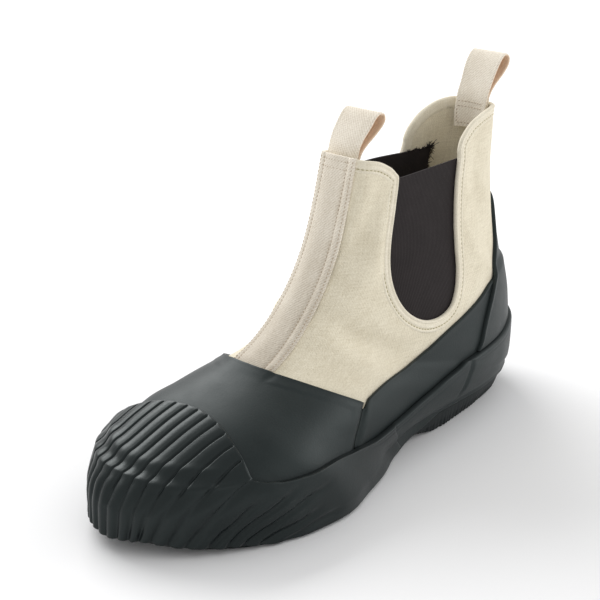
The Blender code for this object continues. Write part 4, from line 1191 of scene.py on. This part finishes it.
def make_counter():
    """Moulded counter up the back of the heel, with a rolled edge."""
    across = 2 * rim_shares(90.0, 90) - 1
    low_z, high_z = COUNTER_EDGE[0][0], COUNTER_EDGE[-1][0]
    foot = foxing_top(back_x(low_z) + counter_depth(low_z) * across**2) + SEAM_GAP
    z = mixed(foot, high_z, rim_shares(72.0, 90)[::-1, None])
    x = back_x(z) + counter_depth(z) * across**2
    sheet = np.where((across < 0)[None, :, None], wall(x, z, 1), wall(x, z, -1))
    over_rubber = np.clip((COUNTER_RAMP - (z - quarter_top(x))) / COUNTER_RAMP_RUN, 0, 1)
    seat = GAP + RUBBER_OUT * over_rubber
    rim = np.minimum(from_sides(sheet), lengths(sheet))
    outside = seat + (RUBBER_SHEET + 0.3 * bell(rim, 1.1, 0.8)) * raised(rolled(rim, SHEET_RIM))
    sheet_piece("counter_sheet", sheet, seat - SHEET_SINK, outside, RUBBER, "rubber", ("heel_counter",))


def counter_line(z):
    """The counter's front edge, pressed on through the foxing towards the sole."""
    return PRESSED_X + (PRESSED_TOP - np.maximum(z, PRESSED_FOOT)) * PRESSED_LEAN


def make_foxing():
    """Band round the heel, with a rolled top, a piped line and the counter's edge pressed through it."""
    rise = rim_shares(30.0, 40)[::-1]
    sheet = heel_wrap(lambda z: FOXING_SEAM_X + FOXING_REACH + 0 * z, foxing_foot, foxing_top, rise, 130)
    from_top = lengths(sheet)
    z = sheet[..., 2]
    ahead = sheet[..., 0] - counter_line(z)
    pressed = (0.6 * soft_step(-ahead, -1.2, 1.2) - 0.5 * bell(ahead, 1.4, 1.2)) * soft_step(z, 11.0, 26.0)
    height = BAND_OUT - GUARD_IN + pressed * soft_step(from_top, 0, 2) - 0.22 * bell(from_top, 3.0, 0.45)
    outside = GUARD_IN + height * raised(rolled(from_ends(sheet), BAND_RIM))
    sheet_piece("foxing_band", sheet, BAND_SEAT, outside, RUBBER, "rubber", ("rear_foxing",), level=True)


# Toe guard


class Levels:
    """Length from the toe round the wall of one side, level by level."""

    heights = np.linspace(0.5, 38.0, 46)
    behind = 185.0 * np.linspace(0, 1, 110) ** 2

    def __init__(self, side):
        self.rows = []
        for z in self.heights:
            x = front_x(z) - self.behind
            self.rows.append(lengths(wall(x, np.full(x.shape, z), side)[:, :2]))

    def between(self, z, value):
        """A value of a level's row, blended between the two levels about z."""
        low, step = self.heights[0], self.heights[1] - self.heights[0]
        at = np.clip((z - low) / step, 0, len(self.heights) - 1.001)
        i, f = int(at), at - int(at)
        return (1 - f) * value(self.rows[i]) + f * value(self.rows[i + 1])

    def reach(self, x, z):
        """Length from the toe to x, at height z."""
        return self.between(z, lambda row: np.interp(front_x(z) - x, self.behind, row))

    def x_at(self, reach, z):
        """x at a length from the toe, at height z."""
        return front_x(z) - self.between(z, lambda row: np.interp(reach, row, self.behind))


LEVELS = {side: Levels(side) for side in (1, -1)}


def guard_side(x, z, side, downs):
    """Points from x, z on the side wall down to the foot, leaning forward as the ribs do."""
    levels = LEVELS[side]
    start = levels.reach(x, z)
    lean = min(LEAN_TOE + LEAN_GAIN * (start / 100.0) ** 2, LEAN_MOST)
    forward = soft_step(x, GUARD_END_X, GUARD_END_X + LEAN_NEAR_SEAM)
    lean = lean * np.clip(start / LEAN_NEAR_TOE, 0, 1) * forward - LEAN_BACK * (1 - forward)
    low_z = mixed(z, foxing_foot(x + lean * z), downs)
    along = np.array([levels.x_at(max(start - lean * (z - low), 0.0), low) for low in low_z])
    points = wall(along, low_z, side)
    return points + (wall(x, z, side) - points[0]) * (1 - soft_step(downs, 0, 0.5))[:, None]


def cap_place(rear_y, s):
    """Share and side on the sections s, on the lines of the cap that meet its rear edge at rear_y."""
    row = section_row(s)
    base_mid = sum(outline(row["base_x"])) / 2
    x, share = row["top_x"], 1.0
    for _ in range(5):
        half = rear_y - CAP_TURN * (x - CAP_REAR_X) - base_mid - share * (row["ridge_y"] - base_mid)
        share = share_at_width(s, half)
        x = mixed(row["base_x"], row["top_x"], share)
    return share, np.where(half > 0, 1, -1)


def cap_points(rear_y, s):
    """Points of the cap on sections s."""
    return skin(s, *cap_place(rear_y, s))


CAP_HALF = float(wall(CAP_REAR_X, CAP_REAR_Z, 1)[1])
RIB_PITCH = 2 * CAP_HALF / CAP_RIBS
RIB_BEATS = np.array([
    0.0, 0.03, 0.06, 0.09, 0.13, 0.18, 0.24, 0.3, 0.4, 0.5, 0.6, 0.7, 0.76, 0.82, 0.87, 0.91, 0.94, 0.97,
])


def rib_height(beat, half):
    """Share of the full height across one rib: a trough of a half width, and a slightly crowned crest."""
    near = np.minimum(beat, 1 - beat)
    return soft_step(near, 0.0, half) * (1 - 0.2 * (1 - soft_step(near, half * 0.7, 0.45)))


def ridge_height(from_nose, low, high):
    """Height of the two ridges where the cap turns down into the side wall, with a hollow between."""
    lower = 0.75 * bell(from_nose, 0.0, 1.9) - 0.2 * bell(from_nose, -7.0, 4.0)
    return lower * low + (0.6 * bell(from_nose, 9.6, 3.0) - 0.38 * bell(from_nose, 4.9, 2.5)) * high


def flank_heights(points, corner, side):
    """Share of the full height of a wall behind the cap; troughs at the cap's corner and the grooves."""
    height = np.ones(points.shape[:2])
    paths = [(1.0, -1.0, corner)]
    for deep, *line in FLANK_GROOVES:
        paths.append((deep, 0.0, wall(*rounded_path(line, 90).T, side)))
    for deep, fade, path in paths:
        gaps = np.linalg.norm(points[:, :, None] - path, axis=-1)
        share = gaps.argmin(axis=-1) / len(path)
        trough = 1 - soft_step(gaps.min(axis=-1), 0, FLANK_GROOVE_HALF)
        height -= deep * trough * soft_step(share, fade, fade + FLANK_GROOVE_FADE)
    return np.maximum(height, -0.1)


def cap_grid(rear_y):
    """The cap's points from its nose to its rear edge, along lines that end at rear_y, and their sides."""
    across = np.minimum(np.abs(rear_y) / CAP_HALF, 1.0)
    low, high = np.full(rear_y.shape, HEEL_CORNER + 2.0), np.full(rear_y.shape, float(TOE_TIP))
    nose_z = CAP_REAR_Z - (CAP_REAR_Z - CAP_NOSE_Z) * (1 - across**6)
    rear_x = CAP_REAR_X - CAP_ARCH * (1 - across**2) ** 1.5
    rear = solve(lambda s: rear_x - cap_points(rear_y, s)[..., 0], low, high)
    nose = np.maximum(rear, solve(lambda s: cap_points(rear_y, s)[..., 2] - nose_z, low, high))
    cap = cap_points(rear_y, mixed(nose, rear, rim_shares(45.0, 46, first=False)[:, None]))
    return cap, cap_place(rear_y, nose)[1]


def cap_height(cap, rib, knuckles):
    """Height of the cap over its seat: the ribs, the ridges towards its nose and a thin rear lip."""
    from_rear = from_foot(cap)
    lipped = 1 - (1 - rib) * soft_step(from_rear, 0.7, 1.8)
    lip = -0.4 * (1 - soft_step(from_rear, 0.6, 1.6))
    height = GUARD_OUT - GUARD_IN - RIB_DEPTH * (1 - lipped) + ridge_height(lengths(cap), *knuckles) + lip
    return height * raised(rolled(from_rear, RIM))


def wall_height(walls, downs, rib, nose_rib, knuckles):
    """Height of the walls over their seat; the columns between the flanks carry on the cap's ribs."""
    count = FLANK_COLUMNS
    from_top = lengths(walls)
    x, z = walls[..., 0], walls[..., 2]
    relief = np.concatenate([
        flank_heights(walls[:, :count], walls[:, count], 1),
        mixed(rib, nose_rib, soft_step(from_top[:, count:-count], 1.0, 8.0)),
        flank_heights(walls[:, -count:], walls[:, -count - 1], -1),
    ], axis=1)
    on_flank = np.ones(walls.shape[1])
    on_flank[count:-count] = 0.0
    piping = -0.2 * bell(from_top, 3.1, 0.5) * on_flank
    ridge = ridge_height(-from_top, *(np.pad(share, count) for share in knuckles))
    flare = GUARD_FLARE * soft_step(downs, 0.1, 1.0)[:, None] * soft_step(x, 80.0, 122.0)
    flare = flare + WAIST_FLARE * bell(x, 0.0, 13.0) * soft_step(12.0 - z, 0.0, 11.0)
    depth = RIB_DEPTH * (1 + 0.35 * soft_step(downs, 0.55, 1.0)[:, None])
    roll = np.where(on_flank > 0, rolled(from_top, BAND_RIM), 1.0)
    roll = np.minimum(roll, rolled(from_foot(walls), 1.4))
    roll = np.minimum(roll, 0.55 + 0.45 * rolled(from_sides(walls), 3.0))
    return (GUARD_OUT - GUARD_IN - depth * (1 - relief) + piping + ridge + flare) * raised(roll)


def make_guard():
    """Ribbed cap over the toe and the band round the front of the foot, moulded in one."""
    beats = (np.arange(CAP_RIBS)[:, None] + RIB_BEATS).ravel()
    cap, cap_sides = cap_grid(CAP_HALF - RIB_PITCH * np.append(beats, CAP_RIBS))
    ribs = [
        np.append(np.tile(rib_height(RIB_BEATS, half), CAP_RIBS), 0.0)
        for half in (GROOVE_HALF, WALL_GROOVE_HALF)
    ]
    to_rear = lengths(cap)[-1]
    knuckles = soft_step(to_rear, 3.0, 14.0), soft_step(to_rear, 14.0, 27.0)

    flank_x = np.linspace(GUARD_END_X, CAP_REAR_X, FLANK_COLUMNS + 1)[:-1]
    tops = [(x, foxing_top(x), 1) for x in flank_x]
    tops += [(x, z, side) for (x, _, z), side in zip(cap[0], cap_sides)]
    tops += [(x, foxing_top(x), -1) for x in flank_x[::-1]]
    downs = rim_shares(28.0, 40)
    walls = np.array([guard_side(*top, downs) for top in tops]).swapaxes(0, 1)

    heights = wall_height(walls, downs, *ribs, knuckles), cap_height(cap, ribs[0], knuckles)
    outside = GUARD_IN + np.concatenate([height.ravel() for height in heights])
    points, quads = joined([
        (walls.reshape(-1, 3), grid_quads(*walls.shape[:2])[:, ::-1]),
        (cap.reshape(-1, 3), grid_quads(*cap.shape[:2])),
    ])
    _, first, index = np.unique(np.round(points / WELD), axis=0, return_index=True, return_inverse=True)
    points, outside, quads = points[first], outside[first], index.ravel()[quads]
    normal = face_normals(points, quads)
    if (normal * (points - GUARD_MIDDLE)).sum() < 0:
        quads, normal = quads[:, ::-1], -normal
    normal = levelled(normal, points[:, 2])
    body = thick(points, quads, normal, BAND_SEAT, outside)
    make_piece("guard_ribbed", *body, GUARD, "rubber", ("toe_guard",), sharp=70.0)


# Sole


def plan_x(turns):
    """x of the sole line at the turns."""
    return HEEL_X + (TOE_X - HEEL_X) * (1 - np.cos(turns)) / 2


def outline_ring(turns, offset):
    """Outer and inner points of the sole line at the turns, moved out by an offset."""
    small = 1e-3
    sides = []
    for pick, outwards in ((0, 1), (1, -1)):
        def at(turn):
            return np.stack([plan_x(turn), _outline(np.clip(turn, 0, math.pi))[..., pick]], axis=-1)
        run = unit(at(np.minimum(turns + small, math.pi)) - at(np.maximum(turns - small, 0)))
        out = np.stack([-run[:, 1], run[:, 0]], axis=1) * outwards
        sides.append(at(turns) + out * np.asarray(offset)[..., None])
    return sides


def plan_body(turns, levels):
    """Points and quads of the sole's outline through levels of offset and height, from the top down."""
    outer, inner = [], []
    for offset, z in levels:
        for ring, flat in zip((outer, inner), outline_ring(turns, offset)):
            ring.append(tucked(flat[:, 0], flat[:, 1], z))
    rings = np.array(outer + inner[::-1]).swapaxes(0, 1)
    return rings.reshape(-1, 3), grid_quads(*rings.shape[:2], close_columns=True)


def heel_floor(x):
    """Lowest level of the heel, raised towards its breast."""
    return HEEL_RISE * soft_step(x, HEEL_BREAST_X - HEEL_RISE_RUN, HEEL_BREAST_X)


def sole_body():
    """Heel block, arch and toe spring, with a notched edge round the heel."""
    heel_x = np.linspace(HEEL_X, HEEL_BREAST_X - 0.3, 400)
    run = lengths(np.stack([heel_x, outline(heel_x)[0]], axis=1))
    heel_turns = outline_turn(np.interp(np.linspace(0, run[-1], 190), run, heel_x))
    turns = np.concatenate([heel_turns, np.linspace(outline_turn(HEEL_BREAST_X + 0.3), math.pi, 120)])
    x = plan_x(turns)
    on_heel = x < HEEL_BREAST_X
    floor_z = np.where(on_heel, heel_floor(x), sole_floor(x))
    ball_depth = GROOVE_DEPTH * soft_step(GROOVE_DEPTH * 1.5 - floor_z, 0, 1.0)
    step_z = foxing_foot(x) - GAP
    body_z = np.minimum(floor_z + np.where(on_heel, TREAD_DEPTH, ball_depth), step_z - 0.4)
    lip = mixed(SOLE_REACH, HEEL_LIP, np.clip((HEEL_BREAST_X - x) / HEEL_LIP_RUN + 1, 0, 1))
    level = np.full(x.shape, SOLE_REACH)
    round_it = np.interp(x, heel_x, run)
    beat = round_it * 2 * math.pi / TOOTH_PITCH
    uneven = 0.62 + 0.38 * np.sin(round_it * 0.83) * np.sin(round_it * 0.31 + 1.0)
    tooth = 0.5 + 0.5 * np.tanh(2.0 * np.sin(beat + np.sin(round_it * 0.47)))
    notched = lip - TOOTH_DEPTH * on_heel * uneven * tooth
    return plan_body(turns, (
        (level, sole_z(x) - GAP), (level, step_z), (lip - 0.5, step_z), (lip, step_z - 0.5),
        (lip - 0.1, mixed(step_z, body_z, 0.5)), (notched - 0.15, mixed(step_z, body_z, 0.62)),
        (notched - 0.3, mixed(step_z, body_z, 0.86)), (notched - 0.9, body_z),
    ))


def tread_bar(low_x, high_x, floor, reach):
    """One bar of the tread, with notched ends."""
    turns = np.linspace(outline_turn(low_x), outline_turn(high_x), BAR_STEPS)
    bottom = floor(plan_x(turns))
    notched = reach - TOOTH_DEPTH * (np.arange(BAR_STEPS) % 4 < 2)
    levels = (
        (np.full(BAR_STEPS, reach - 0.4), bottom + GROOVE_DEPTH + 1.2),
        (notched, bottom + GROOVE_DEPTH * 0.8), (notched, bottom + 0.5), (notched - 0.5, bottom),
    )
    points, quads = plan_body(turns, levels)
    ring = 2 * len(levels)
    rear = np.array([[k, k + 1, ring - 2 - k, ring - 1 - k] for k in range(len(levels) - 1)])
    return points, np.vstack([quads, rear[:, ::-1], rear + (BAR_STEPS - 1) * ring])


def make_sole():
    """Outsole: its body, and the bars of tread under the heel and the ball."""
    bodies = [sole_body()]
    heel = [HEEL_X - 1.0, *HEEL_GROOVES, HEEL_BREAST_X]
    ball = [BALL_GROOVES[0] - BALL_END, *BALL_GROOVES, BALL_GROOVES[-1] + BALL_END]
    for ends, floor, reach in ((heel, heel_floor, HEEL_LIP - 1.6), (ball, sole_floor, SOLE_REACH)):
        for low, high in zip(ends[:-1], ends[1:]):
            low_x = max(low + GROOVE_WIDTH / 2, HEEL_X + 0.2)
            high_x = high - (GROOVE_WIDTH / 2 if high != HEEL_BREAST_X else 0.0)
            if high_x - low_x >= BAR_LEAST:
                bodies.append(tread_bar(low_x, high_x, floor, reach - 0.25))
    make_piece("sole_tread", *joined(bodies), SOLE, "sole_rubber", ("outsole",), sharp=35.0)


def make_footbed():
    """Footbed with a rounded edge."""
    turns = np.linspace(0, math.pi, 120)
    base = sole_z(plan_x(turns))
    side = np.full(turns.shape, -(CANVAS_WALL + INSOLE_CLEAR))
    levels = [(side - way, base + INSOLE_THICKNESS - drop) for way, drop in INSOLE_EDGE]
    points, quads = plan_body(turns, [*levels, (side, base)])
    make_piece("footbed", points, quads, FOOTBED, "insole", ("insole",), points[:, :2], sharp=50.0)


# Stitches

STITCH_PITCH, STITCH_LENGTH, STITCH_RADIUS = 2.3, 2.0, 0.3
# Back loop's rows: heights of the box and of the row over it, share of the half width at the sides
LOOP_SEAMS = (150.2, 159.4, 162.2, 0.84)


def stitch_row(line, normal, pitch=STITCH_PITCH, length=STITCH_LENGTH, radius=STITCH_RADIUS):
    """Points and quads of the stitches along a line of points, each a short thread with rounded ends."""
    run = lengths(line)
    rings, turn = np.linspace(-1, 1, 7), np.linspace(0, 2 * math.pi, 6, endpoint=False)
    wide = np.sqrt(np.maximum(1 - np.abs(rings) ** 3, 0.04))
    quads = grid_quads(len(rings), len(turn), close_columns=True)
    stitches = []
    for middle in np.arange(pitch / 2, run[-1] - length / 2, pitch):
        where = middle + rings * length / 2
        path = np.stack([np.interp(where, run, line[:, k]) for k in range(3)], axis=1)
        up = unit(np.stack([np.interp(middle, run, normal[:, k]) for k in range(3)]))
        across = unit(np.cross(path[-1] - path[0], up))
        path = path - up * (0.22 * rings**2)[:, None]
        ring = across * np.cos(turn)[:, None] + up * np.sin(turn)[:, None]
        stitches.append(((path[:, None] + ring * (radius * wide)[:, None, None]).reshape(-1, 3), quads))
    return joined(stitches)


def sewn_piece(name, rows, material, **sizes):
    """All the stitches along some rows, as one piece."""
    points, quads = joined([stitch_row(line, up, **sizes) for line, up in rows])
    make_piece(name, points, quads, material, "tape", (), points[:, [0, 2]], sharp=80.0)


def strip_rows():
    """Rows along both edges of the strip and across its top."""
    first, last = strip_ends()
    s = np.linspace(first + 0.06, last - 0.3, 160)
    inner, outer = strip_edges(s)
    rows = []
    for y in (outer - OUTER_TROUGH, outer - SELVAGE, inner + INNER_TROUGH, inner + SELVAGE):
        line = strip_point(s, y)
        up = out_of(*on_skin(line[:, 0], line[:, 2], np.where(y < 0, -1, 1)))
        rows.append((line + up * (STRIP_OUT + strip_height(y - inner, outer - y) + 0.05)[:, None], up))
    for s_row in (first + 0.12, first + 0.29):
        inner, outer = strip_edges(s_row)
        y = np.linspace(inner + 2.0, outer - 2.0, 40)
        line = strip_point(s_row, y)
        ahead = np.broadcast_to(np.array([0.95, 0.0, 0.3]), line.shape)
        height = STRIP_OUT + strip_height(y - inner, outer - y) + 0.02
        rows.append((line + ahead * height[:, None], ahead))
    return rows


def loop_rows():
    """A box of stitches, and one row more, where the back loop is sewn in."""
    low, high, top, side = LOOP_SEAMS
    flat = np.linspace(-side, side, 30)
    level = np.ones(30)
    paths = [(flat, level * z) for z in (low, high, top)]
    paths += [(level * way, np.linspace(low, high, 30)) for way in (-side, side)]
    face = BACK_LOOP[-1][0] + TAPE_THICKNESS / 2 + 0.1
    facing = np.broadcast_to(np.array([1.0, 0.0, 0.0]), (30, 3))
    wide, middle = BACK_LOOP_HALF[0], BACK_LOOP_Y[0]
    return [
        (np.stack([face + LOOP_BOW * way**2, middle + wide * way, z], axis=1), facing) for way, z in paths
    ]


def make_stitches():
    """Rows along the hem, along both edges of the strip, and where the back loop is sewn in."""
    points, normal, inwards = collar_loop()
    closed = np.append(np.arange(len(points)), 0)
    line = (points + inwards * HEM_STITCH - normal * 0.12)[closed]
    sewn_piece("stitches_hem", [(line, normal[closed])], THREAD)
    rows = strip_rows() + loop_rows()
    sewn_piece("stitches_tape", rows, TAPE_THREAD, pitch=2.0, length=1.35, radius=0.24)


# Stage

CAMERA_AT, CAMERA_AIM = (546.0, 465.8, 360.5), (-2.7, -11.5, 80.0)
CAMERA_UP = (-0.2727, -0.2452, 0.9303)
FRAME_PIXELS, FOCAL_PIXELS, FRAME_ZOOM, SENSOR = 600.0, 1150.0, 1.33, 36.0


def placed(point):
    """A point of the last's frame in the scene."""
    return Vector((np.array(point) + FRAME_SHIFT) * MM)


def looking(at, aim, up):
    """Matrix of an object at a point that looks at another."""
    back = (at - aim).normalized()
    right = Vector(up).cross(back).normalized()
    turned = Matrix((right, back.cross(right), back)).transposed().to_4x4()
    return Matrix.Translation(at) @ turned


def make_camera():
    """The photo's camera, drawn in on the one boot."""
    data = bpy.data.cameras.new("camera")
    data.sensor_width = SENSOR
    data.lens = FOCAL_PIXELS * FRAME_ZOOM / FRAME_PIXELS * SENSOR
    camera = bpy.data.objects.new("camera", data)
    camera.matrix_world = looking(placed(CAMERA_AT), placed(CAMERA_AIM), CAMERA_UP)
    bpy.context.scene.collection.objects.link(camera)
    bpy.context.scene.camera = camera


WORLD_STRENGTH, FLOOR_HALF = 0.75, 6.0
# Columns: name, place in metres, aim in metres, width, height, watts
LIGHTS = (
    ("key", (-0.4, -1.45, 1.2), (0.0, 0.0, 0.06), 1.7, 0.9, 27.0),
    ("rear", (-1.6, 1.2, 0.7), (0.0, 0.0, 0.08), 1.6, 1.0, 13.0),
)


def make_lights():
    """Plain soft studio light."""
    for name, place, aim, width, height, watts in LIGHTS:
        data = bpy.data.lights.new(name, "AREA")
        data.shape = "RECTANGLE"
        data.size, data.size_y, data.energy = width, height, watts
        light = bpy.data.objects.new(name, data)
        light.matrix_world = looking(Vector(place), Vector(aim), (0.0, 0.1, 1.0))
        bpy.context.scene.collection.objects.link(light)
    world = bpy.data.worlds.new("studio")
    world.use_nodes = True
    background = world.node_tree.nodes["Background"]
    background.inputs["Color"].default_value = (1.0, 1.0, 1.0, 1.0)
    background.inputs["Strength"].default_value = WORLD_STRENGTH
    bpy.context.scene.world = world
    bpy.context.scene.view_settings.view_transform = "Standard"


def make_floor():
    """Plain pale floor."""
    half = FLOOR_HALF
    mesh = bpy.data.meshes.new("floor")
    corners = [(-half, -half, 0), (half, -half, 0), (half, half, 0), (-half, half, 0)]
    mesh.from_pydata(corners, [], [(0, 1, 2, 3)])
    paint = Paint("floor_pale", 0.7, specular_ior_level=0.15)
    paint.colour(paint.blend(paint.noise(0.4, 2.0), (0.90, 0.90, 0.905), (0.92, 0.92, 0.925)))
    mesh.materials.append(paint.material)
    floor = bpy.data.objects.new("floor", mesh)
    bpy.context.scene.collection.objects.link(floor)


make_camera()
make_lights()
make_floor()
make_canvas()
make_hem()
make_gore("gore_outer_panel", "gore_outer", 1)
make_gore("gore_inner_panel", "gore_inner", -1)
make_fray()
make_strip()
make_loop("loop_front_tape", "pull_loop_front", FRONT_LOOP, FRONT_LOOP_HALF, FRONT_LOOP_Y, -LOOP_BOW)
make_loop("loop_back_tape", "pull_loop_back", BACK_LOOP, BACK_LOOP_HALF, BACK_LOOP_Y, LOOP_BOW)
make_vamp()
make_quarter()
make_counter()
make_foxing()
make_guard()
make_sole()
make_footbed()
make_stitches()

bpy.context.view_layer.update()
